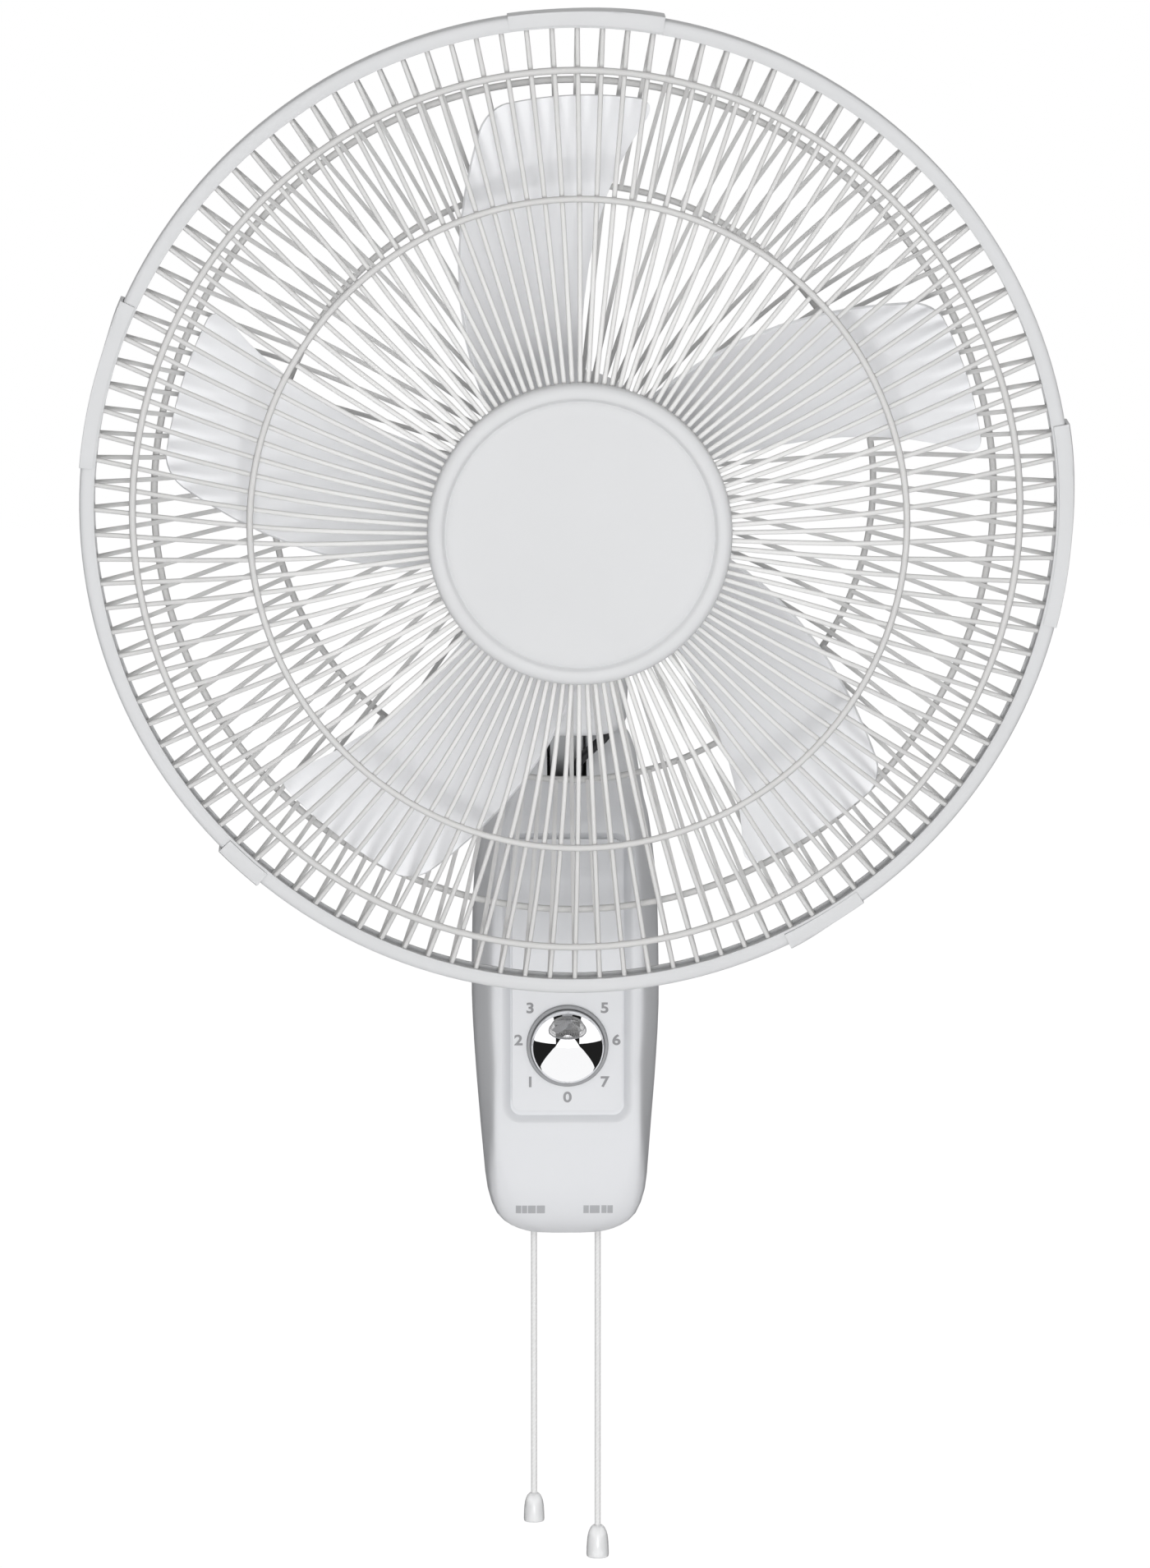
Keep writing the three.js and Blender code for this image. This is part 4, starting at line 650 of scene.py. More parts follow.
    @staticmethod
    def plate(name: str, half: Pair, middle: Pair, corner: float,
              thick: float) -> bpy.types.Object:
        """Makes a plate with round corners: a plane, bevelled and extruded along local Z.

        Args:
            name: The piece's name.
            half: Half width and half height, in millimetres.
            middle: Its middle, in millimetres.
            corner: Corner radius, in millimetres.
            thick: Thickness, in millimetres.

        Returns:
            The new piece, its back at height 0.
        """
        Bench.clear()
        bpy.ops.mesh.primitive_plane_add(size=2.0)
        piece = Bench.named(name)
        piece.data.transform(Matrix.Translation((middle[0] * MM, middle[1] * MM, 0.0))
                             @ Matrix.Diagonal((half[0] * MM, half[1] * MM, 1.0, 1.0)))
        Bench.edit()
        bpy.ops.mesh.bevel(offset=corner * MM, segments=8, affect="VERTICES")
        bpy.ops.mesh.select_all(action="SELECT")
        bpy.ops.mesh.extrude_region_move(TRANSFORM_OT_translate={"value": (0.0, 0.0, thick * MM)})
        Bench.done()
        Bench.outward(piece)
        return piece

    @staticmethod
    def rounded(half: Pair, middle: Pair, corner: float, forward: float) -> List[Place]:
        """Draws a rectangle with round corners that faces forward.

        Args:
            half: Half width and half height, in millimetres.
            middle: Its middle, in millimetres.
            corner: Corner radius, in millimetres.
            forward: How far in front of the wall it lies, in millimetres.

        Returns:
            Its points, in metres.
        """
        points = []
        for quarter in range(4):
            side = 1 if quarter in (0, 3) else -1
            rise = 1 if quarter < 2 else -1
            for step in range(9):
                turn = math.radians(90.0 * quarter + 90.0 * step / 8)
                x = middle[0] + side * (half[0] - corner) + corner * math.cos(turn)
                z = middle[1] + rise * (half[1] - corner) + corner * math.sin(turn)
                points.append((x * MM, -forward * MM, z * MM))
        return points

    @staticmethod
    def carve(piece: bpy.types.Object, *tools: bpy.types.Object) -> None:
        """Takes tools away from a piece and deletes them."""
        for tool in tools:
            Bench.apply(piece, "BOOLEAN", operation="DIFFERENCE", solver="MANIFOLD",
                        object=tool)
            bpy.data.objects.remove(tool, do_unlink=True)


def finished(piece: bpy.types.Object, body: Body, finish: Finish, *nodes: str,
             slot: str = "white_plastic", angle: float = 35.0) -> bpy.types.Object:
    """Dresses a piece and lets it ride on its body.

    Args:
        piece: The piece, in its place.
        body: The body it rides on.
        finish: Its finish.
        nodes: The solids that it stands for.
        slot: A material slot's name; not used.
        angle: Edges flatter than this are shaded smooth, in degrees.

    Returns:
        The same piece.
    """
    Bench.smooth(piece, angle)
    piece.data.materials.clear()
    piece.data.materials.append(finish.make())
    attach(piece, body.value)
    if nodes:
        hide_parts(*nodes)
    log.info("%s: %d faces on %s", piece.name, len(piece.data.polygons), body.value)
    return piece


def curve_through(points: Sequence[Tuple[float, ...]], steps: int) -> List[Tuple[float, ...]]:
    """Draws a smooth line through points.

    Args:
        points: The points to pass.
        steps: Steps between two points.

    Returns:
        The points of the line.
    """
    line: List[Tuple[float, ...]] = []
    for index in range(len(points) - 1):
        before = points[max(index - 1, 0)]
        here, there = points[index], points[index + 1]
        after = points[min(index + 2, len(points) - 1)]
        for step in range(steps):
            t = step / steps
            line.append(tuple(
                0.5 * (2 * b + (c - a) * t + (2 * a - 5 * b + 4 * c - d) * t * t
                       + (3 * b - a - 3 * c + d) * t ** 3)
                for a, b, c, d in zip(before, here, there, after)))
    line.append(points[-1])
    return line


# ---------------------------------------------------------------- studio


def arithmetic(tree: bpy.types.NodeTree, kind: str, first: Value,
               second: Value) -> bpy.types.NodeSocket:
    """Adds one piece of arithmetic to a node tree.

    Args:
        tree: The node tree.
        kind: The operation.
        first: A number or a socket.
        second: A number or a socket.

    Returns:
        The result's socket.
    """
    node = tree.nodes.new("ShaderNodeMath")
    node.operation = kind
    for socket, value in zip(node.inputs, (first, second)):
        if isinstance(value, float):
            socket.default_value = value
        else:
            tree.links.new(value, socket)
    return node.outputs["Value"]


@dataclass
class Studio:
    """The camera at the photograph's angle, the floor, and soft light.

    Attributes:
        azimuth: Degrees that the camera stands to the side.
        elevation: Degrees that it stands above the rim's middle.
        distance: From the rim's middle, in metres.
        focal: Focal length in pixels of the picture.
        aim: Where the rim's middle falls in that picture.
        floor_height: Height of the floor, in metres.
        sheet_half: Half the width of the bright patch that glossy rays see on the floor, at the
            fan: a painted reflection.
        sheet_spread: How fast it widens forward.
        sheet_level: How bright the floor glows there for glossy rays, and everywhere for the
            camera.
        cloth_level: Share of that glow beside the patch, which bright metal mirrors as dark: a
            painted reflection.
        lamps: The lamps.
    """

    azimuth: float = -1.4
    elevation: float = 5.5
    distance: float = 3.2
    focal: float = 8494.8
    aim: Pair = (701.0, 618.0)
    floor_height: float = -0.62
    sheet_half: float = 1.14
    sheet_spread: float = 0.53
    sheet_level: float = 1.02
    cloth_level: float = 0.015
    lamps: Tuple["Lamp", ...] = ()

    def build(self) -> None:
        """Makes the camera, the floor and the lights."""
        self._camera()
        self._floor()
        Sky().build()
        for lamp in self.lamps:
            lamp.build()

    def _camera(self) -> None:
        """Places the camera so that the rim's middle falls on its place in the picture."""
        a, e = math.radians(self.azimuth), math.radians(self.elevation)
        back = Vector((math.sin(a) * math.cos(e), -math.cos(a) * math.cos(e), math.sin(e)))
        right = Vector((math.cos(a), math.sin(a), 0.0))
        up = back.cross(right)
        across = (self.aim[0] - PICTURE[0] / 2) / self.focal * self.distance
        rise = -(self.aim[1] - PICTURE[1] / 2) / self.focal * self.distance
        place = HEAD_ORIGIN - (right * across + up * rise - back * self.distance)
        data = bpy.data.cameras.new("camera")
        data.sensor_fit = "VERTICAL"
        data.sensor_height = SENSOR
        data.sensor_width = SENSOR
        data.lens = self.focal / PICTURE[1] * SENSOR
        data.clip_start, data.clip_end = 0.1, 40.0
        camera = bpy.data.objects.new("camera", data)
        camera.matrix_world = Matrix((
            (right.x, up.x, back.x, place.x),
            (right.y, up.y, back.y, place.y),
            (right.z, up.z, back.z, place.z),
            (0.0, 0.0, 0.0, 1.0),
        ))
        bpy.context.collection.objects.link(camera)
        bpy.context.scene.camera = camera

    def _floor(self) -> None:
        """Makes the plain pale floor, far enough below to clear the cords; in glossy rays it glows
        as a painted reflection.
        """
        Bench.clear()
        bpy.ops.mesh.primitive_plane_add(size=30.0, location=(0.0, -1.0, self.floor_height))
        floor = Bench.named("floor")
        material = bpy.data.materials.new("pale_floor")
        material.use_nodes = True
        tree = material.node_tree
        shader = tree.nodes["Principled BSDF"]
        shader.inputs["Base Color"].default_value = (0.62, 0.62, 0.63, 1.0)
        shader.inputs["Roughness"].default_value = 0.9
        rays = tree.nodes.new("ShaderNodeLightPath").outputs
        glow = tree.nodes.new("ShaderNodeEmission")
        # Painted reflection: the floor glows for the camera, and for glossy rays in a bright patch
        # with a dim glow beside it.
        tree.links.new(self._sheet(tree, rays["Is Camera Ray"]), glow.inputs["Strength"])
        either = arithmetic(tree, "MAXIMUM", rays["Is Camera Ray"], rays["Is Glossy Ray"])
        mix = tree.nodes.new("ShaderNodeMixShader")
        tree.links.new(either, mix.inputs[0])
        tree.links.new(shader.outputs["BSDF"], mix.inputs[1])
        tree.links.new(glow.outputs["Emission"], mix.inputs[2])
        tree.links.new(mix.outputs["Shader"], tree.nodes["Material Output"].inputs["Surface"])
        floor.data.materials.append(material)

    def _sheet(self, tree: bpy.types.NodeTree,
               camera_ray: bpy.types.NodeSocket) -> bpy.types.NodeSocket:
        """Makes the floor glow in glossy rays as a bright patch that widens forward, with a dim
        glow beside it: a painted reflection.

        Args:
            tree: The floor's node tree.
            camera_ray: 1 where the camera itself sees the floor.

        Returns:
            The brightness socket.
        """
        place = tree.nodes.new("ShaderNodeTexCoord")
        split = tree.nodes.new("ShaderNodeSeparateXYZ")
        tree.links.new(place.outputs["Object"], split.inputs["Vector"])
        sums = partial(arithmetic, tree)
        # The bright patch and the dim glow beside it are a painted reflection, seen by glossy rays
        # only.
        spread = sums("MULTIPLY", split.outputs["Y"], self.sheet_spread)
        edge = sums("SUBTRACT", self.sheet_half, spread)
        inside = sums("LESS_THAN", sums("ABSOLUTE", split.outputs["X"], 0.0), edge)
        seen = sums("MAXIMUM", inside, camera_ray)
        return sums("MULTIPLY", sums("MAXIMUM", seen, self.cloth_level), self.sheet_level)


@dataclass(frozen=True)
class Lamp:
    """A soft square lamp that points at the fan.

    Attributes:
        name: The lamp's name.
        place: Where it stands, in metres.
        size: Its side, in metres.
        power: Its power, in watts.
    """

    name: str
    place: Place
    size: float
    power: float

    def build(self) -> None:
        """Makes the lamp and turns it to the fan."""
        data = bpy.data.lights.new(self.name, "AREA")
        data.size = self.size
        data.energy = self.power
        lamp = bpy.data.objects.new(self.name, data)
        lamp.location = self.place
        lamp.rotation_mode = "QUATERNION"
        toward = LIT - Vector(self.place)
        lamp.rotation_quaternion = toward.to_track_quat("-Z", "Y")
        lamp.visible_glossy = False
        bpy.context.collection.objects.link(lamp)


@dataclass
class Sky:
    """The studio round the fan: white to the eye, brighter in front than from the sides.

    Attributes:
        base: Brightness from every side.
        front: What comes from in front, on top of that.
        above: What comes from above, on top of that.
        behind: What comes from behind, on top of that.
        flags: Share of the light from in front and above that flags at the sides take away.
        dark: Brightness of the dark room that bright metal mirrors.
        bright: Brightness of the soft boxes and the sheet that it mirrors.
        box_side: How far aside the soft boxes start.
        box_low: How high they start.
        sheet_top: How high the sheet's arch reaches.
        sheet_curve: How fast the arch falls to the sides.
        back: How far behind the mirrored room gives way to the soft light.
    """

    base: float = 0.08
    front: float = 0.95
    above: float = 0.28
    behind: float = 0.55
    flags: float = 0.75
    dark: float = 0.015
    bright: float = 1.25
    box_side: float = 0.46
    box_low: float = 0.10
    sheet_top: float = 0.46
    sheet_curve: float = 2.1
    back: float = -0.5

    def build(self) -> None:
        """Makes the world."""
        world = bpy.data.worlds.new("studio")
        bpy.context.scene.world = world
        bpy.context.scene.view_settings.view_transform = "Standard"
        world.use_nodes = True
        tree = world.node_tree
        self.sums = partial(arithmetic, tree)
        place = tree.nodes.new("ShaderNodeTexCoord")
        split = tree.nodes.new("ShaderNodeSeparateXYZ")
        tree.links.new(place.outputs["Generated"], split.inputs["Vector"])
        across, along, up = (split.outputs[axis] for axis in "XYZ")
        toward = self.sums("MULTIPLY", along, -1.0)
        soft = self._soft(across, toward, up)
        room = self._room(across, toward, up, soft)
        rays = tree.nodes.new("ShaderNodeLightPath").outputs
        level = self._choose(rays["Is Glossy Ray"], soft, room)
        level = self._choose(rays["Is Camera Ray"], level, 1.0)
        light = tree.nodes["Background"].inputs
        tree.links.new(level, light["Strength"])
        light["Color"].default_value = (1.0, 1.0, 1.0, 1.0)

    def _choose(self, share: bpy.types.NodeSocket, low: Value,
                high: Value) -> bpy.types.NodeSocket:
        """Goes from one level to another by a share from 0 to 1.

        Args:
            share: The share.
            low: Level at 0.
            high: Level at 1.

        Returns:
            The level's socket.
        """
        spread = self.sums("MULTIPLY", self.sums("SUBTRACT", high, low), share)
        return self.sums("ADD", low, spread)

    def _soft(self, across: bpy.types.NodeSocket, toward: bpy.types.NodeSocket,
              up: bpy.types.NodeSocket) -> bpy.types.NodeSocket:
        """Gives the brightness of the soft light by direction.

        Args:
            across: How far the direction points to the right.
            toward: How far it points forward.
            up: How far it points up.

        Returns:
            The brightness socket.
        """
        sums = self.sums
        ahead = sums("MULTIPLY", sums("MAXIMUM", toward, 0.0), self.front)
        high = sums("MULTIPLY", sums("POWER", sums("MAXIMUM", up, 0.0), 2.0), self.above)
        taken = sums("MULTIPLY", sums("MULTIPLY", across, across), self.flags)
        light = sums("MULTIPLY", sums("ADD", ahead, high), sums("SUBTRACT", 1.0, taken))
        away = sums("MAXIMUM", sums("MULTIPLY", toward, -1.0), 0.0)
        rear = sums("MULTIPLY", away, self.behind)
        return sums("ADD", sums("ADD", light, rear), self.base)

    def _room(self, across: bpy.types.NodeSocket, toward: bpy.types.NodeSocket,
              up: bpy.types.NodeSocket, soft: bpy.types.NodeSocket) -> bpy.types.NodeSocket:
        """Makes what bright metal mirrors: a dark room, a sheet below and a box on each side.

        Args:
            across: How far the direction points to the right.
            toward: How far it points forward.
            up: How far it points up.
            soft: The soft light behind the fan.

        Returns:
            The brightness socket.
        """
        sums = self.sums
        box = sums("MULTIPLY", sums("GREATER_THAN", sums("ABSOLUTE", across, 0.0), self.box_side),
                   sums("GREATER_THAN", up, self.box_low))
        fall = sums("MULTIPLY", sums("MULTIPLY", across, across), self.sheet_curve)
        sheet = sums("LESS_THAN", up, sums("SUBTRACT", self.sheet_top, fall))
        room = self._choose(sums("MAXIMUM", box, sheet), self.dark, self.bright)
        return self._choose(sums("GREATER_THAN", toward, self.back), soft, room)


# ---------------------------------------------------------------- cords


@dataclass
class PullCord:
    """One pull cord with its bell.

    Attributes:
        name: What it works.
        side: -1 on the left, 1 on the right.
        body: The body it travels on.
        end: Height of the bell's top, in millimetres.
        across: Distance from the middle, in millimetres.
        depth: Distance from the wall, negative in front of it, in millimetres.
        top: Height of its switch's underside, in millimetres.
        exit: Height where it leaves the column, in millimetres.
        thick: Diameter, in millimetres.
        knot: How deep its knot sits in the bell, in millimetres.
        points: Number of points on its line.
        bell_radius: Widest radius of its bell, in millimetres.
        bell_length: Length of its bell, in millimetres.
    """

    name: str
    side: int
    body: Body
    end: float
    across: float = CORD_ACROSS
    depth: float = CORD_DEPTH
    top: float = -109.3
    exit: float = -127.0
    thick: float = 3.0
    knot: float = 2.0
    points: int = 18
    bell_radius: float = 5.5
    bell_length: float = 16.2

    def build(self) -> None:
        """Makes the cord and its bell."""
        bell = self._bell()
        x, y = self.side * self.across * MM, self.depth * MM
        low = self.end - self.knot
        line = [(x, y, (self.top + (low - self.top) * step / (self.points - 1)) * MM)
                for step in range(self.points)]
        Bench.clear()
        bpy.ops.curve.primitive_nurbs_path_add()
        cord = bpy.context.object
        cord.name = f"{self.name}_cord_line"
        cord.data.splines.clear()
        spline = cord.data.splines.new("POLY")
        spline.points.add(self.points - 1)
        for point, place in zip(spline.points, line):
            point.co = (*place, 1.0)
        cord.location = (0.0, 0.0, 0.0)
        cord.data.dimensions = "3D"
        cord.data.bevel_depth = self.thick / 2 * MM
        cord.data.bevel_resolution = 4
        cord.data.use_fill_caps = True
        cord.data.materials.append(TWINE.make())
        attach(cord, self.body.value)
        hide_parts(f"{self.name}_cord")

    def _bell(self) -> bpy.types.Object:
        """Makes the bullet-shaped bell with a hollow foot.

        Returns:
            The bell.
        """
        shape = [(0.30, 0.02), (0.37, 0.0), (0.50, 0.03), (0.65, 0.09), (0.79, 0.19), (0.89, 0.32),
                 (0.95, 0.48), (0.985, 0.70), (1.0, 0.90), (0.97, 0.96), (0.88, 0.995), (0.76, 1.0),
                 (0.71, 0.97), (0.67, 0.82), (0.04, 0.80)]
        profile = [(radius * self.bell_radius, self.end - share * self.bell_length)
                   for radius, share in shape]
        bell = Bench.turned(f"{self.name}_bell_shell", profile, 32)
        Bench.settle(bell, Matrix.Translation((self.side * self.across * MM, self.depth * MM, 0.0)))
        return finished(bell, self.body, BELL, f"{self.name}_bell", slot="bell", angle=50.0)


# ---------------------------------------------------------------- guard


@dataclass
class WireGuard:
    """The wire cage: two domed grilles, their rings, the band, its clips and the cap.

    Attributes:
        wires: Number of wires in each grille.
        wire: Wire diameter, in millimetres.
        front: Radius and forward place of points on a front wire.
        rear: The same on a rear wire.
        front_rings: Radius, forward place and wire diameter of the front's rings.
        rear_rings: The same at the rear.
        rim: Outer radius of the band.
        band_half: Half the band's depth.
        clips: Angle where each clip starts and angle that it covers, in degrees.
        runs: Where a clip's wall starts to run out and over what angle, by its number.
        gap: Play between a clip and the band.
        clip_wall: A clip's wall.
        clip_lip: How far a clip reaches inwards on the band's faces.
        field: Forward place of the cap's field.
    """

    wires: int = 120
    wire: float = 2.3
    front: Tuple[Pair, ...] = (
        (60.0, 72.0), (92.0, 68.6), (124.0, 62.4), (150.0, 50.0), (176.0, 34.8), (202.4, 16.0),
        (213.0, 8.8), (223.2, 2.4))
    rear: Tuple[Pair, ...] = (
        (42.0, -86.0), (75.0, -80.4), (108.0, -74.6), (141.0, -65.0), (168.0, -45.0),
        (194.0, -21.0), (209.0, -11.4), (223.2, -2.4))
    front_rings: Tuple[Place, ...] = ((148.3, 53.6, 3.0), (202.4, 18.9, 3.2), (223.2, 2.4, 2.6))
    rear_rings: Tuple[Place, ...] = ((141.0, -67.8, 3.0), (194.0, -24.2, 3.2), (223.2, -2.4, 2.6))
    rim: float = 227.2
    band_half: float = 7.6
    clips: Tuple[Pair, ...] = (
        (80.0, 18.0), (-14.0, 24.0), (155.0, 20.0), (224.0, 6.0), (296.0, 10.0))
    runs: ClassVar[Dict[int, Pair]] = {
        1: (80.0, 14.0), 2: (10.0, -16.0), 3: (155.0, 7.0), 5: (296.0, 7.0)}
    gap: float = 0.3
    clip_wall: float = 1.6
    clip_lip: float = 5.8
    field: float = 78.0

    def build(self) -> None:
        """Makes every piece of the guard."""
        self._front()
        self._rear()
        self._rings("front_rings", self.front_rings, "front_mid_ring", "front_outer_ring")
        self._rings("rear_rings", self.rear_rings, "rear_mid_ring", "rear_outer_ring")
        self._band()
        for number, (start, span) in enumerate(self.clips, 1):
            self._clip(number, start, span)
        self._cap()

    def _wire(self, name: str, line: Sequence[Pair], sides: int) -> bpy.types.Object:
        """Makes one wire in the local XZ plane: a small circle extruded along its line.

        Args:
            name: The wire's name.
            line: Radius and height of its points, in millimetres.
            sides: Sides of the wire.

        Returns:
            The wire.
        """
        loops = []
        half = self.wire / 2
        for index, (radius, height) in enumerate(line):
            before = line[max(index - 1, 0)]
            after = line[min(index + 1, len(line) - 1)]
            along = Vector((after[0] - before[0], after[1] - before[1])).normalized()
            loop = []
            for side in range(sides):
                angle = math.tau * side / sides
                out = math.cos(angle) * half
                loop.append(((radius - along.y * out) * MM, math.sin(angle) * half * MM,
                             (height + along.x * out) * MM))
            loops.append(loop)
        return Bench.loft(name, loops)

    def _front(self) -> None:
        """Makes the front wires."""
        wire = self._wire("front_wires", curve_through(self.front, 2), 7)
        step = math.tau / self.wires
        whole = Bench.round_copies(wire, self.wires, step, "front_wires")
        Bench.settle(whole, HEAD_AXIS)
        finished(whole, Body.HEAD, COATED, "front_grille", slot="wire", angle=60.0)

    def _rear(self) -> None:
        """Makes the rear wires: every second one stops at the inner ring."""
        long_wire = self._wire("rear_wires", curve_through(self.rear, 2), 6)
        short_wire = self._wire("rear_short", curve_through(self.rear[3:], 2), 6)
        step = math.tau / self.wires
        short_wire.data.transform(Matrix.Rotation(step, 4, "Z"))
        pair = Bench.join([long_wire, short_wire], "rear_wires")
        whole = Bench.round_copies(pair, self.wires // 2, step * 2, "rear_wires")
        Bench.settle(whole, HEAD_AXIS)
        finished(whole, Body.HEAD, COATED, "rear_grille", slot="wire", angle=60.0)

    def _rings(self, name: str, rings: Sequence[Place], *nodes: str) -> None:
        """Makes the welded rings of a grille.

        Args:
            name: The piece's name.
            rings: Radius, height and wire diameter of each.
            nodes: The solids that they stand for.
        """
        made = []
        for number, (radius, height, thick) in enumerate(rings):
            turns = [math.tau * corner / 8 for corner in range(8)]
            section = [(radius + thick / 2 * math.cos(turn), height + thick / 2 * math.sin(turn))
                       for turn in turns]
            made.append(Bench.swept(f"{name}_{number}", section, 0.0, 360.0, 160))
        whole = Bench.join(made, name)
        Bench.settle(whole, HEAD_AXIS)
        finished(whole, Body.HEAD, RING, *nodes, slot="wire", angle=70.0)

    def _band(self) -> None:
        """Makes the band, a channel open inwards with rounded shoulders and a fine seam."""
        r, h = self.rim, self.band_half
        inner = r - 6.8
        profile = [
            (inner, -h + 0.3), (inner + 0.4, -h), (r - 2.2, -h), (r - 0.9, -h + 0.35),
            (r - 0.2, -h + 1.1), (r, -h + 2.4), (r, -0.35), (r - 0.4, -0.2), (r - 0.4, 0.2),
            (r, 0.35), (r, h - 2.4), (r - 0.2, h - 1.1), (r - 0.9, h - 0.35), (r - 2.2, h),
            (inner + 0.4, h), (inner, h - 0.3), (inner, h - 2.0), (r - 5.2, h - 2.0),
            (r - 5.2, -h + 2.0), (inner, -h + 2.0)]
        band = Bench.turned("guard_band", profile, 192, Ending.RING)
        Bench.settle(band, HEAD_AXIS)
        finished(band, Body.HEAD, DARKENED_WHITE, "rim_band", angle=40.0)

    def _clip(self, number: int, start: float, span: float) -> None:
        """Makes one clip that grips the band from outside.

        Args:
            number: Its number.
            start: Angle where it starts, in degrees.
            span: Angle that it covers, in degrees.
        """
        inner = self.rim + self.gap
        outer = inner + self.clip_wall
        face = self.band_half + self.gap
        side = face + self.clip_wall
        lip = self.rim - self.clip_lip
        section = [
            (lip, -side), (outer - 1.8, -side), (outer - 0.5, -side + 0.5), (outer, -side + 1.8),
            (outer, side - 1.8), (outer - 0.5, side - 0.5), (outer - 1.8, side), (lip, side),
            (lip, face), (inner, face), (inner, -face), (lip, -face)]
        steps = max(6, round(span / 1.5))
        clip = Bench.swept(f"guard_clip_{number}", section, start, span, steps)
        self._thin(clip, number, start + span / 2)
        Bench.soften(clip, 0.2)
        pieces = [clip]
        if span < 8.0:  # the short clip below is the lock, with two screws
            pieces += [self._screw(start + span * share, outer) for share in (0.3, 0.7)]
        whole = Bench.join(pieces, f"guard_clip_{number}")
        Bench.settle(whole, HEAD_AXIS)
        finished(whole, Body.HEAD, DARKENED_WHITE, f"rim_clip_{number}", angle=35.0)

    def _thin(self, clip: bpy.types.Object, number: int, middle: float) -> None:
        """Lets a clip's wall run out from its thick end to a thin lip on the band.

        Args:
            clip: The clip, about the rotor axis.
            number: Its number.
            middle: Angle of its middle, in degrees.
        """
        if number not in self.runs:
            return
        first, length = self.runs[number]
        inner = (self.rim + self.gap) * MM
        face = (self.band_half + self.gap) * MM
        past = 1.0001  # what is further out than this share belongs to the wall
        for vertex in clip.data.vertices:
            x, y, z = vertex.co
            turn = math.degrees(math.atan2(y, x))
            turn += 360.0 * round((middle - turn) / 360.0)
            gone = min(1.0, max(0.0, (turn - first) / length))
            keep = 1.0 - 0.8 * gone * gone * (3.0 - 2.0 * gone)
            radius = math.hypot(x, y)
            out = (inner + (radius - inner) * keep) / radius if radius > inner * past else 1.0
            deep = math.copysign(face + (abs(z) - face) * keep, z) if abs(z) > face * past else z
            vertex.co = (x * out, y * out, deep)

    def _screw(self, degrees: float, radius: float) -> bpy.types.Object:
        """Makes a small raised screw boss on a clip.

        Args:
            degrees: Its angle.
            radius: The clip's outer radius, in millimetres.

        Returns:
            The boss.
        """
        profile = [(2.3, -0.5), (2.3, 0.3), (2.0, 0.6), (1.2, 0.6), (1.0, 0.1), (0.2, 0.1)]
        boss = Bench.turned("boss", profile, 20)
        turn = Matrix.Rotation(math.radians(degrees), 4, "Z")
        place = Matrix.Translation((radius * MM, 0.0, 0.0))
        Bench.settle(boss, turn @ place @ Matrix.Rotation(math.radians(90.0), 4, "Y"))
        return boss

    def _cap(self) -> None:
        """Makes the centre cap: a plain field, a groove and a raised border."""
        f = self.field
        profile = [
            (0.4, f + 0.5), (20.0, f + 0.45), (40.0, f + 0.25), (56.0, f), (59.0, f - 0.1),
            (59.9, f - 0.6), (60.4, f - 0.9), (60.9, f - 0.5), (61.5, f + 0.7), (62.3, 79.3),
            (63.4, 79.6), (65.6, 79.4), (67.2, 78.6), (68.1, 77.4), (68.4, 76.0), (68.4, 73.6),
            (55.7, 73.5), (55.7, 68.6), (53.5, 68.6), (53.5, 73.3), (0.4, 73.3)]
        cap = Bench.turned("cap_disc", profile, 128)
        Bench.settle(cap, HEAD_AXIS)
        finished(cap, Body.HEAD, DARKENED_WHITE, "centre_cap", angle=30.0)


# ---------------------------------------------------------------- rotor


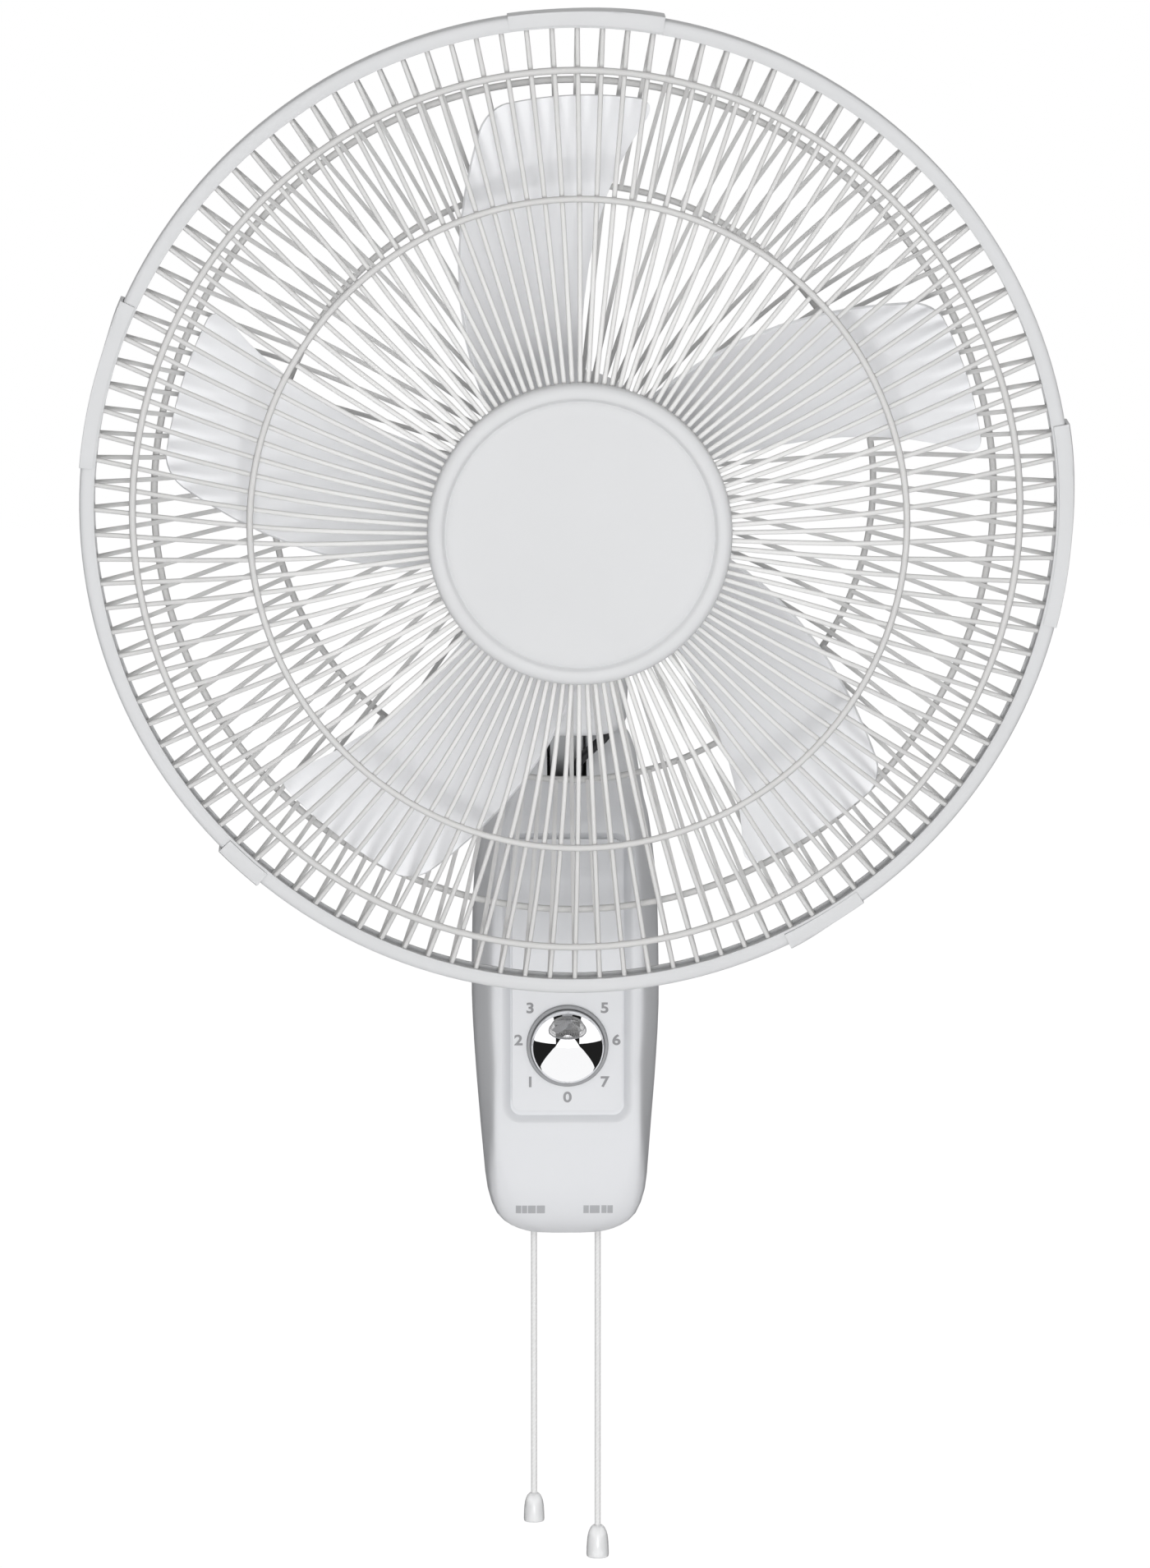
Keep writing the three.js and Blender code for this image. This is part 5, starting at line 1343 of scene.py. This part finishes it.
@dataclass
class Rotor:
    """Five swept blades on a moulded hub.

    Attributes:
        count: Number of blades.
        hub: Hub radius, in millimetres.
        tip: Tip radius, in millimetres.
        thick: Blade thickness, in millimetres.
        corner: Radius of the tip's corners, in millimetres.
        rear_edge: Angle of the rear edge at the hub, and its share and square further out.
        front_edge: The same of the front edge, in degrees.
        camber: Height of the blade's hollow at the hub, in millimetres.
        spans: Radii of the blade's rows, in millimetres.
    """

    count: int = 5
    hub: float = 45.0
    tip: float = 189.0
    thick: float = 2.0
    corner: float = 9.0
    rear_edge: Place = (16.0, 3.5, -13.0)
    front_edge: Place = (62.0, -36.0, 4.5)
    camber: float = 5.0
    spans: Tuple[float, ...] = (
        43.5, 50.0, 58.0, 68.0, 80.0, 94.0, 110.0, 126.0, 142.0, 156.0, 168.0, 176.0, 180.0,
        182.5, 184.8, 186.6, 188.0, 188.8, 189.0)

    def build(self) -> None:
        """Makes the hub with its blades, and the nut."""
        blade = self._blade()
        blades = Bench.round_copies(blade, self.count, math.tau / self.count, "blades")
        profile = [(4.4, 8.0), (38.0, 8.0), (41.0, 7.6), (43.4, 6.4), (44.6, 4.6), (45.0, 2.4),
                   (45.0, -38.0), (42.5, -38.0), (42.5, 3.0), (40.0, 5.0), (9.0, 5.4),
                   (9.0, -35.0), (4.4, -35.0)]
        hub = Bench.turned("hub", profile, 96, Ending.RING)
        ribs = Bench.blocks("rib", (8.6, -0.8, -30.0), (42.7, 0.8, 5.2), 10)
        whole = Bench.join([hub, blades, *ribs], "blade_wheel")
        Bench.settle(whole, HEAD_AXIS)
        finished(whole, Body.ROTOR, BLADE, "fan_blade", slot="blade_plastic", angle=45.0)
        self._nut()

    def _edges(self, radius: float) -> Pair:
        """Gives the angles of a blade's rear and front edges.

        Args:
            radius: The radius, in millimetres.

        Returns:
            Both angles, in degrees.
        """
        t = (radius - self.hub) / (self.tip - self.hub)
        rear, front = (start + share * t + square * t * t
                       for start, share, square in (self.rear_edge, self.front_edge))
        return rear, front

    def _rounding(self, radius: float) -> float:
        """Gives how far the edges draw in near the tip.

        Args:
            radius: The radius, in millimetres.

        Returns:
            The angle that each edge draws in, in degrees.
        """
        past = radius - (self.tip - self.corner)
        if past <= 0.0:
            return 0.0
        inset = self.corner - math.sqrt(max(0.0, self.corner ** 2 - past ** 2))
        return math.degrees(inset / radius)

    def _blade(self) -> bpy.types.Object:
        """Makes one blade: a grid laid on its camber, thickened and bevelled.

        Returns:
            The blade.
        """
        rows = []
        for radius in self.spans:
            t = (radius - self.hub) / (self.tip - self.hub)
            rear, front = self._edges(radius)
            draw = self._rounding(radius)
            rise = min(48.0 - 24.0 * t, 28.0 + (radius - self.hub) * 0.6)
            middle = -12.0 * max(0.0, 1.0 - (radius - self.hub) / 30.0)
            row = []
            for step in range(17):
                c = step / 16
                share = (draw + c * (front - rear - 2 * draw)) / (front - rear)
                angle = math.radians(rear + draw + c * (front - rear - 2 * draw))
                camber = self.camber * (1.0 - t * 0.5) * 4.0 * share * (1.0 - share)
                height = middle + (share - 0.5) * rise - camber
                row.append((radius * math.cos(angle) * MM, radius * math.sin(angle) * MM,
                            height * MM))
            rows.append(row)
        blade = Bench.grid("blade", rows)
        Bench.apply(blade, "SOLIDIFY", thickness=self.thick * MM, offset=0.0)
        Bench.outward(blade)
        Bench.soften(blade, 0.6, 3, 60.0)
        return blade

    def _nut(self) -> None:
        """Makes the domed nut with its grip ribs."""
        profile = [(0.3, 30.3), (3.5, 30.0), (7.5, 28.6), (11.0, 26.0), (13.6, 22.4), (15.0, 18.2),
                   (15.4, 14.0), (15.4, 9.2), (16.0, 9.0), (16.0, 8.3), (4.3, 8.3), (4.3, 24.3),
                   (0.3, 24.3)]
        nut = Bench.turned("spinner", profile, 64)
        ribs = Bench.blocks("grip", (14.6, -0.7, 9.0), (15.9, 0.7, 17.0), 16)
        whole = Bench.join([nut, *ribs], "spinner")
        Bench.settle(whole, HEAD_AXIS)
        finished(whole, Body.ROTOR, WHITE, "spinner_nut", angle=40.0)


# ---------------------------------------------------------------- motor and neck


@dataclass
class MotorHouse:
    """The motor cover with its collar and vents, and the ring nut of the rear grille.

    Attributes:
        shell: Radius and forward place of points along the cover; behind the rim is negative.
        wall: Its wall, in millimetres.
        floor: Forward place of the inside of its end.
        vents: Number of cooling slots.
    """

    shell: Tuple[Pair, ...] = (
        (46.0, -90.0), (46.0, -100.0), (45.4, -130.0), (43.0, -150.0), (38.6, -165.0),
        (32.5, -177.0), (23.0, -186.5), (12.0, -191.0), (0.5, -192.0))
    wall: float = 2.2
    floor: float = -189.6
    vents: int = 24

    def build(self) -> None:
        """Makes the cover and the ring nut."""
        outside = curve_through(self.shell, 3)
        mouth = self.shell[0][1]
        inside = [(max(0.5, radius - self.wall), min(height + self.wall * 0.9, mouth))
                  for radius, height in outside]
        inside = [point for point in inside if point[1] > self.floor]
        profile = [*reversed(outside), (inside[0][0], mouth), *inside[1:], (0.5, self.floor)]
        cover = Bench.turned("motor_hood", profile, 96)
        throat = Bench.bar("throat", 24.8, (-62.0, -24.0), 64)
        Bench.settle(throat, self._upright())
        cutters = Bench.blocks("slot", (11.0, -1.1, -193.0), (29.0, 1.1, -176.0), self.vents, 0.5)
        Bench.carve(cover, throat, Bench.join(cutters, "slots"))
        collar = self._collar()
        whole = Bench.join([cover, collar], "motor_hood")
        Bench.settle(whole, HEAD_AXIS)
        finished(whole, Body.HEAD, WHITE, "motor_cover", angle=32.0)
        self._ring_nut()

    def _upright(self) -> Matrix:
        """Turns what stands about local Z onto the swing axis, in the head's turned frame."""
        return FACING.inverted() @ Matrix.Translation((0.0, SWING_AXIS * MM, 0.0))

    def _collar(self) -> bpy.types.Object:
        """Makes the collar round the swing post.

        Returns:
            The collar, in the head's turned frame.
        """
        profile = [(25.2, -59.0), (26.4, -59.0), (27.0, -58.3), (27.0, -44.0), (27.6, -41.0),
                   (25.6, -38.0), (24.9, -40.0)]
        collar = Bench.turned("collar", profile, 96, Ending.RING)
        Bench.settle(collar, self._upright())
        return collar

    def _ring_nut(self) -> None:
        """Makes the ring nut with its grip lobes."""
        profile = [(22.4, -87.2), (35.0, -87.2), (36.0, -86.4), (36.0, -84.2), (32.5, -83.0),
                   (31.8, -79.2), (31.0, -78.2), (22.4, -78.2)]
        nut = Bench.turned("grille_nut", profile, 72, Ending.RING)
        lobes = Bench.blocks("lobe", (31.0, -1.6, -84.4), (34.4, 1.6, -79.0), 12)
        whole = Bench.join([nut, *lobes], "grille_nut")
        Bench.settle(whole, HEAD_AXIS)
        finished(whole, Body.HEAD, WHITE, "guard_nut", angle=35.0)


@dataclass
class Neck:
    """The neck cover and the lead that runs into it.

    Attributes:
        half: Half its width, in millimetres.
        front: Its front behind the rim.
        rear: Its rear behind the rim.
        top: Its top below the rotor axis.
        bottom: Its bottom below the rotor axis.
        wall: Its wall.
        square: How square its outline is; 1 is an ellipse.
        lead: Radius of the lead.
        route: Points that the lead passes.
    """

    half: float = 30.0
    front: float = 118.0
    rear: float = 192.0
    top: float = -60.0
    bottom: float = -131.0
    wall: float = 2.4
    square: float = 0.55
    lead: float = 2.4
    route: Tuple[Place, ...] = (
        (4.0, -68.0, 76.0), (4.0, -72.5, 86.0), (4.0, -74.8, 97.0), (4.6, -78.5, 103.5),
        (8.0, -86.0, 109.5), (13.5, -91.6, 115.0), (18.3, -94.4, 120.0), (20.0, -95.1, 125.5),
        (20.0, -95.8, 132.0))

    def build(self) -> None:
        """Makes the cover and the lead."""
        top, bottom = self.top, self.bottom
        levels = [(bottom, 6.0), (bottom + 1.2, 3.2), (bottom + 3.2, 1.2), (bottom + 6.0, 0.2),
                  (bottom + 20.0, 0.0), (top - 6.0, 0.0), (top - 2.6, 0.5), (top - 0.9, 1.7),
                  (top, 3.6)]
        shell = Bench.loft("neck_cover", [self._outline(z, inset) for z, inset in levels])
        Bench.apply(shell, "SOLIDIFY", thickness=self.wall * MM, offset=-1.0)
        post = Bench.bar("post_cut", 7.3, (top - 8.0, top + 3.0), 40, (0.0, SWING_AXIS * MM, 0.0))
        slot = Bench.block("tongue_cut", (-9.5, 151.0, bottom - 3.0),
                           (9.5, self.rear - 4.0, bottom + 6.0))
        lead = Bench.bar("lead_cut", 3.4, (bottom - 3.0, bottom + 8.0), 24, (0.020, 0.152, 0.0))
        Bench.carve(shell, post, slot, lead)
        Bench.settle(shell, HEAD)
        # Painted light: the neck's lightened white makes up for the head's shade.
        finished(shell, Body.NECK, LIGHTENED_WHITE, "neck_shell", angle=32.0)
        self._lead()

    def _outline(self, z: float, inset: float) -> List[Place]:
        """Draws the cover's outline at one height.

        Args:
            z: The height, in millimetres.
            inset: How far it is drawn in.

        Returns:
            The outline's points, in metres.
        """
        t = (z - self.bottom) / (self.top - self.bottom)
        half = self.half - 1.5 * (1.0 - t) - inset
        middle = (self.front + self.rear) / 2
        depth = (self.rear - self.front) / 2 - inset
        points = []
        for step in range(72):
            angle = math.tau * (step + 0.5) / 72
            x = math.copysign(abs(math.cos(angle)) ** self.square, math.cos(angle))
            y = math.copysign(abs(math.sin(angle)) ** self.square, math.sin(angle))
            points.append((half * x * MM, (middle + depth * y) * MM, z * MM))
        return points

    def _lead(self) -> None:
        """Makes the black lead between column and neck."""
        line = [Vector(point) for point in curve_through(self.route, 4)]
        turns = [math.tau * corner / 12 for corner in range(12)]
        loops = []
        for index, point in enumerate(line):
            along = (line[min(index + 1, len(line) - 1)] - line[max(index - 1, 0)]).normalized()
            side = along.cross(Vector((0.0, 1.0, 0.0))).normalized()
            up = side.cross(along)
            spokes = [side * math.cos(turn) + up * math.sin(turn) for turn in turns]
            loops.append([tuple((point + spoke * self.lead) * MM) for spoke in spokes])
        lead = Bench.loft("neck_lead", loops)
        Bench.smooth(lead, 60.0)
        lead.data.materials.clear()
        lead.data.materials.append(BLACK.make())
        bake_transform(lead)
        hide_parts("motor_lead")
        log.info("%s: %d faces between column and neck", lead.name, len(lead.data.polygons))


# ---------------------------------------------------------------- column


@dataclass
class Column:
    """The column: two housings, the control plate, the knob and its scale.

    Attributes:
        levels: Height, half width, front and back of the column, from the bottom up.
        parting: Where the housings meet.
        wall: Their wall.
        face_wall: The wall behind the control plate.
        face_top: How high that thicker wall reaches.
        crown_from: Height where the crown begins.
        chin: Height below which the hollow draws in.
        knob_height: Height of the knob.
        knob_radius: Radius of the chrome knob.
        knob_crown: How far its crown stands in front of the wall.
        knob_curve: Radius of the crown's curve.
        corner: The front corner: how far inwards, in flank widths, and how deep, in depths.
        soft_corner: The same at the foot, the first in millimetres.
        soft_from: Height below which the corner goes over into the soft one.
        soft_over: Height that this takes.
        hollow: Heights of the hollow's loops.
        plate_back: How far the control plate's back stands in front of the wall.
        numeral: Size of a number.
        numeral_reach: How far the numbers stand from the knob's middle.
        numeral_places: The reach and lift of numbers that stand elsewhere.
        numeral_depth: How far the numbers' middle stands in front of the wall.
        label_height: Height of the blocks at the foot.
        labels: Middle of each row of blocks, and start and end of each block.
    """

    levels: Tuple[Tuple[float, float, float, float], ...] = (
        (-126.5, 18.0, -72.0, -22.0), (-125.6, 21.4, -74.2, -18.5), (-122.5, 28.0, -79.0, -14.0),
        (-116.5, 34.4, -84.0, -10.0), (-104.5, 38.6, -89.0, -8.0), (-88.0, 40.6, -91.6, -8.0),
        (-64.0, 42.7, -94.0, -8.0), (-40.0, 44.5, -94.0, -8.0), (-15.0, 45.7, -94.0, -8.0),
        (10.0, 45.6, -94.0, -8.0), (35.0, 45.0, -94.0, -8.0), (55.0, 43.6, -94.0, -8.0),
        (72.0, 41.5, -93.0, -8.0), (80.0, 40.2, -90.6, -9.6), (86.0, 38.6, -87.5, -12.0),
        (94.0, 37.2, -84.4, -17.6), (102.0, 35.8, -81.2, -24.0), (107.5, 34.8, -78.9, -30.6),
        (112.0, 33.5, -75.9, -38.0), (116.5, 31.9, -71.8, -44.4), (119.2, 30.6, -68.4, -48.2),
        (120.0, 29.6, -66.6, -49.6))
    parting: float = -42.0
    wall: float = 2.5
    face_wall: float = 7.0
    face_top: float = 75.0
    crown_from: float = 74.0
    chin: float = -112.0
    knob_height: float = -31.0
    knob_radius: float = 17.8
    knob_crown: float = 110.7
    knob_curve: float = 24.0
    corner: Tuple[Pair, ...] = ((0.03, 0.31), (0.84, 0.07), (1.14, 0.012), (1.6, 0.0))
    soft_corner: Tuple[Pair, ...] = ((0.0, 0.20), (1.2, 0.076), (5.0, 0.028), (12.0, 0.0))
    soft_from: float = -74.0
    soft_over: float = 30.0
    hollow: Tuple[float, ...] = (
        -123.6, -122.0, -119.0, -115.0, -108.0, -100.0, -80.0, -60.0, -30.0, 0.0, 30.0, 60.0,
        74.0, 76.5, 84.0, 92.0, 100.0, 106.0, 111.0, 115.0, 117.4)
    plate_back: float = 90.3
    numeral: float = 7.0
    numeral_reach: float = 25.6
    numeral_places: ClassVar[Dict[int, Pair]] = {2: (23.8, 2.4), 4: (29.0, 0.0), 6: (23.8, 2.4)}
    numeral_depth: float = 93.86
    label_height: float = -112.7
    labels: ClassVar[Dict[str, Tuple[float, Tuple[Pair, ...]]]] = {
        "left": (-17.9, ((-7.1, -4.5), (-4.1, -1.6), (-1.2, 2.6), (3.1, 7.1))),
        "right": (15.2, ((-7.2, -4.6), (-4.1, 0.7), (1.6, 4.1), (4.5, 7.1)))}

    def build(self) -> None:
        """Makes the column's pieces."""
        self._front()
        self._rear()
        self._plate()
        self._knob()
        self._scale()

    def _outline(self, z: float, half: float, front: float, back: float) -> List[Place]:
        """Draws the outline at one height: a flat face, slanted flanks and a square back.

        Args:
            z: The height, in millimetres.
            half: Half the width.
            front: Place of the front.
            back: Place of the back.

        Returns:
            The points of the outline, in metres.
        """
        depth = back - front
        if z > self.crown_from:
            flank = 7.5 + min(6.0, (z - self.crown_from) * 0.25)
        else:
            flank = max(3.2, min(8.0, 8.0 + (z + 40.0) * 0.075))
        soft = max(0.0, min(1.0, (self.soft_from - z) / self.soft_over))
        side = [(0.0, back), (half * 0.5, back), (half - min(4.0, half / 4), back),
                (half, back - min(4.0, depth / 6)), (half, back - depth * 0.2),
                (half, back - depth * 0.42)]
        for (sharp_in, sharp_deep), (soft_in, soft_deep) in zip(self.corner, self.soft_corner):
            inward = sharp_in * flank * (1.0 - soft) + soft_in * soft
            deep = sharp_deep * (1.0 - soft) + soft_deep * soft
            side.append((half - inward, front + depth * deep))
        side += [(half * 0.4, front), (0.0, front)]
        ring = side + [(-x, y) for x, y in reversed(side[1:-1])]
        for _ in range(2):
            ring = [(x * near + next_x * far, y * near + next_y * far)
                    for (x, y), (next_x, next_y) in zip(ring, ring[1:] + ring[:1])
                    for near, far in ((0.8, 0.2), (0.2, 0.8))]
        return [(x * MM, y * MM, z * MM) for x, y in ring]

    def _level(self, z: float) -> Tuple[float, float, float]:
        """Gives the column's measures at any height.

        Args:
            z: The height, in millimetres.

        Returns:
            Half width, front and back, in millimetres.
        """
        for low, high in zip(self.levels, self.levels[1:]):
            if z <= high[0]:
                t = (z - low[0]) / (high[0] - low[0])
                return tuple(a + (b - a) * t for a, b in zip(low[1:], high[1:]))
        return self.levels[-1][1:]

    def _cavity(self, name: str) -> bpy.types.Object:
        """Makes the hollow of the column: thick behind the control plate, thin elsewhere.

        Args:
            name: Its name.

        Returns:
            The hollow as a solid.
        """
        loops = []
        for z in self.hollow:
            half, front, back = self._level(z)
            extra = max(0.0, (self.chin - z) * 0.22) + max(0.0, (z - 104.0) * 0.16)
            face = self.face_wall if z < self.face_top else self.wall
            loops.append(self._outline(z, half - self.wall - extra, front + face + extra,
                                       back - self.wall - extra))
        return Bench.loft(name, loops)

    def _shell(self, name: str, keep_front: bool) -> bpy.types.Object:
        """Makes one half of the column's shell.

        Args:
            name: Its name.
            keep_front: Whether the front half is kept.

        Returns:
            The half, with its wall.
        """
        lines = curve_through(self.levels, 2)
        whole = Bench.loft(name, [self._outline(*level) for level in lines])
        Bench.pick(whole)
        Bench.edit()
        edge = self.parting if keep_front else self.parting + 0.3
        bpy.ops.mesh.bisect(plane_co=(0.0, edge * MM, 0.0), plane_no=(0.0, 1.0, 0.0), use_fill=True,
                            clear_outer=keep_front, clear_inner=not keep_front)
        Bench.done()
        Bench.outward(whole)
        Bench.carve(whole, self._cavity("hollow"))
        return whole

    def _crown_cut(self) -> bpy.types.Object:
        """Makes the cutter of the crown's slot.

        Returns:
            The cutter.
        """
        place, height, radius = -58.0, 96.0, 36.0
        points = [(place, height)]
        for step in range(13):
            turn = math.radians(-26.0 + 108.0 * step / 12)
            points.append((place - radius * math.sin(turn), height + radius * math.cos(turn)))
        loops = [[(x * MM, y * MM, z * MM) for y, z in points] for x in (-9.6, 9.6)]
        return Bench.loft("crown_cut", loops)

    def _pocket(self) -> bpy.types.Object:
        """Makes the cutter of the pocket, whose walls lean outwards to a soft edge.

        Returns:
            The cutter.
        """
        walls = ((0.0, 0.0), (0.5, 0.5), (2.4, 2.0), (3.4, 3.2), (4.0, 4.6), (4.2, 6.0),
                 (12.0, 6.0))
        loops = [Bench.rounded((27.6 + spread, 68.0 + spread), (0.0, 2.4), 5.2 + spread,
                               90.0 + height) for height, spread in walls]
        return Bench.loft("pocket", loops)

    def _front(self) -> None:
        """Makes the front housing with its pocket, slot and cord holes."""
        shell = self._shell("front_cover", True)
        holes = [Bench.bar("hole", 2.4, (-132.0, -112.0), 24,
                           (side * CORD_ACROSS * MM, CORD_DEPTH * MM, 0.0)) for side in (-1, 1)]
        Bench.carve(shell, self._pocket(), self._crown_cut(), *holes)
        Bench.soften(shell, 0.5)
        finished(shell, Body.BASE, WHITE, "front_housing", angle=30.0)
        self._labels(shell)

    def _rear(self) -> None:
        """Makes the rear housing with its hook slots and lead inlet."""
        shell = self._shell("rear_cover", False)
        cuts = [self._crown_cut()]
        cuts += [Bench.block("hook_cut", (middle - 5.5, -12.0, 33.0), (middle + 5.5, -6.0, 46.3))
                 for middle in (-20.0, 20.0)]
        cuts.append(Bench.bar("inlet", 4.8, (-132.0, -112.0), 32, (0.0, -0.032, 0.0)))
        for height in (30.0, -88.0):
            hole = Bench.bar("screw_cut", 1.9, (-2.0, 6.0), 20)
            Bench.settle(hole, Matrix.Translation((0.0, -0.007, height * MM)) @ FACING)
            cuts.append(hole)
        Bench.carve(shell, *cuts)
        Bench.soften(shell, 0.5)
        finished(shell, Body.BASE, WHITE, "rear_housing", angle=30.0)

    def _plate(self) -> None:
        """Makes the control plate that lies in the pocket."""
        plate = Bench.plate("control_face", (26.8, 66.4), (0.0, 3.4), 4.8, 3.4)
        middle = (0.0, self.knob_height * MM, 0.0)
        Bench.carve(plate, Bench.bar("hole", 5.3, (-2.0, 6.0), 32, middle))
        Bench.soften(plate, 0.7, 3)
        Bench.settle(plate, Matrix.Translation((0.0, -self.plate_back * MM, 0.0)) @ FACING)
        finished(plate, Body.BASE, PANEL, "control_plate", angle=30.0)

    def _knob(self) -> None:
        """Makes the chrome knob and the ring round its foot."""
        r, curve = self.knob_radius, self.knob_curve
        middle = self.knob_crown - curve
        crown = [(ring, middle + math.sqrt(curve ** 2 - ring ** 2))
                 for ring in (0.3, 2.5, 5.0, 7.5, 9.5, 11.5, 13.2, 14.7, 15.9)]
        skirt = [(16.7, 103.9), (17.2, 102.9), (17.6, 101.3), (r, 99.0), (r, 96.9), (17.4, 96.7),
                 (3.3, 96.7), (3.3, 106.7), (0.3, 106.7)]
        place = Matrix.Translation((0.0, 0.0, self.knob_height * MM)) @ FACING
        knob = Bench.turned("knob_dome", crown + skirt, 96)
        Bench.settle(knob, place)
        finished(knob, Body.KNOB, CHROME, "timer_knob", slot="chrome", angle=40.0)
        section = [(10.0, 94.0), (19.6, 94.0), (19.9, 94.4), (19.9, 95.6), (19.5, 96.2),
                   (18.8, 96.4), (18.2, 96.2), (17.9, 95.4), (10.0, 95.2)]
        bezel = Bench.turned("knob_ring", section, 96, Ending.RING)
        Bench.settle(bezel, place)
        finished(bezel, Body.BASE, GREY, "knob_bezel", slot="grey_plastic", angle=35.0)

    def _labels(self, shell: bpy.types.Object) -> None:
        """Prints a row of plain grey blocks on each side of the front's curved foot.

        Args:
            shell: The front housing that they lie on.
        """
        for name, (middle, blocks) in self.labels.items():
            pieces = []
            for start, end in blocks:
                places = [middle + start + (end - start) * across / 6 for across in range(7)]
                heights = [self.label_height + 0.5 * up for up in range(-4, 5)]
                lines = [[(x * MM, -0.110, z * MM) for x in places] for z in heights]
                piece = Bench.grid(f"label_{name}", lines)
                Bench.apply(piece, "SHRINKWRAP", target=shell, wrap_method="PROJECT",
                            use_project_y=True, use_negative_direction=False,
                            use_positive_direction=True)
                Bench.apply(piece, "SOLIDIFY", thickness=0.0003, offset=0.0)
                Bench.outward(piece)
                pieces.append(piece)
            label = Bench.join(pieces, f"label_{name}")
            finished(label, Body.BASE, FADED, slot="grey_plastic", angle=30.0)

    def _scale(self) -> None:
        """Prints the plain numbers 0 to 7 round the knob."""
        for number in range(8):
            turn = math.radians(-90.0 - 45.0 * number)
            Bench.clear()
            bpy.ops.object.text_add()
            mark = bpy.context.object
            mark.data.body = str(number)
            mark.data.align_x = "CENTER"
            mark.data.align_y = "CENTER"
            mark.data.size = self.numeral * MM
            mark.data.offset = 0.00018  # bolder than this, the 6 breaks
            mark.data.extrude = 0.00012
            bpy.ops.object.convert(target="MESH")
            mark = Bench.named(f"scale_{number}")
            reach, lift = self.numeral_places.get(number, (self.numeral_reach, 0.0))
            height = self.knob_height + lift + reach * math.sin(turn)
            place = Matrix.Translation((reach * math.cos(turn) * MM, height * MM,
                                        self.numeral_depth * MM))
            Bench.settle(mark, FACING @ place @ Matrix.Diagonal((1.2, 1.0, 1.0, 1.0)))
            finished(mark, Body.BASE, INK, slot="black_plastic", angle=30.0)


# ---------------------------------------------------------------- solids that stay


@dataclass(frozen=True)
class KeptSolids:
    """Solids of the frame that stay as they are and get one finish.

    Attributes:
        finish: Their finish.
        nodes: Their names.
    """

    finish: Finish
    nodes: Tuple[str, ...]

    def dress(self) -> None:
        """Puts the finish on each solid."""
        for node in self.nodes:
            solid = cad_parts[node]
            for slot in solid.material_slots:
                slot.material = self.finish.make()
            if not solid.material_slots:
                solid.data.materials.append(self.finish.make())
            log.info("%s: %s", node, self.finish.name)


KEPT: Tuple[KeptSolids, ...] = (
    KeptSolids(STEEL, (
        "wall_plate", "housing_screw_1", "housing_screw_2", "timer_shaft", "tilt_bolt", "tilt_nut",
        "swing_motor", "swing_crank", "swing_link", "swing_post", "front_bearing", "rear_bearing",
        "motor_shaft")),
    # The tilt washers' black is partly painted shade in the crown's slot.
    KeptSolids(BLACK, (
        "speed_switch", "swing_switch", "cable_gland", "run_capacitor", "tilt_washer_left",
        "tilt_washer_right")),
    KeptSolids(ALLOY, (
        "neck_frame", "swing_bush", "motor_cradle", "front_shield", "rear_shield")),
    KeptSolids(GREY, ("timer_body", "terminal_block")),
    KeptSolids(LAMINATION, ("stator_core", "rotor_core")),
    # Partly painted shade: the bracket's black darkens the crown's slot.
    KeptSolids(FORK_AND_SLOT_SHADE, ("tilt_bracket",)),
    KeptSolids(COPPER, ("stator_winding",)),
    KeptSolids(COATED, ("rear_hub_plate",)),
    KeptSolids(WHITE, ("front_hub_ring",)),
)


def main() -> None:
    """Builds the studio and every piece in order."""
    logging.basicConfig(level=logging.INFO, format="%(message)s")
    lamps = (Lamp("key", (0.0, -3.0, 0.9), 1.4, 5.0), Lamp("front", (0.0, -3.4, -0.28), 0.6, 58.0))
    Studio(lamps=lamps).build()
    PullCord("speed", -1, Body.SPEED, -258.0, bell_radius=5.05, bell_length=14.4).build()
    PullCord("swing", 1, Body.SWING, -274.3).build()
    Column().build()
    Neck().build()
    MotorHouse().build()
    WireGuard().build()
    Rotor().build()
    for solids in KEPT:
        solids.dress()
    Bench.clear()


if __name__ == "__main__":
    main()
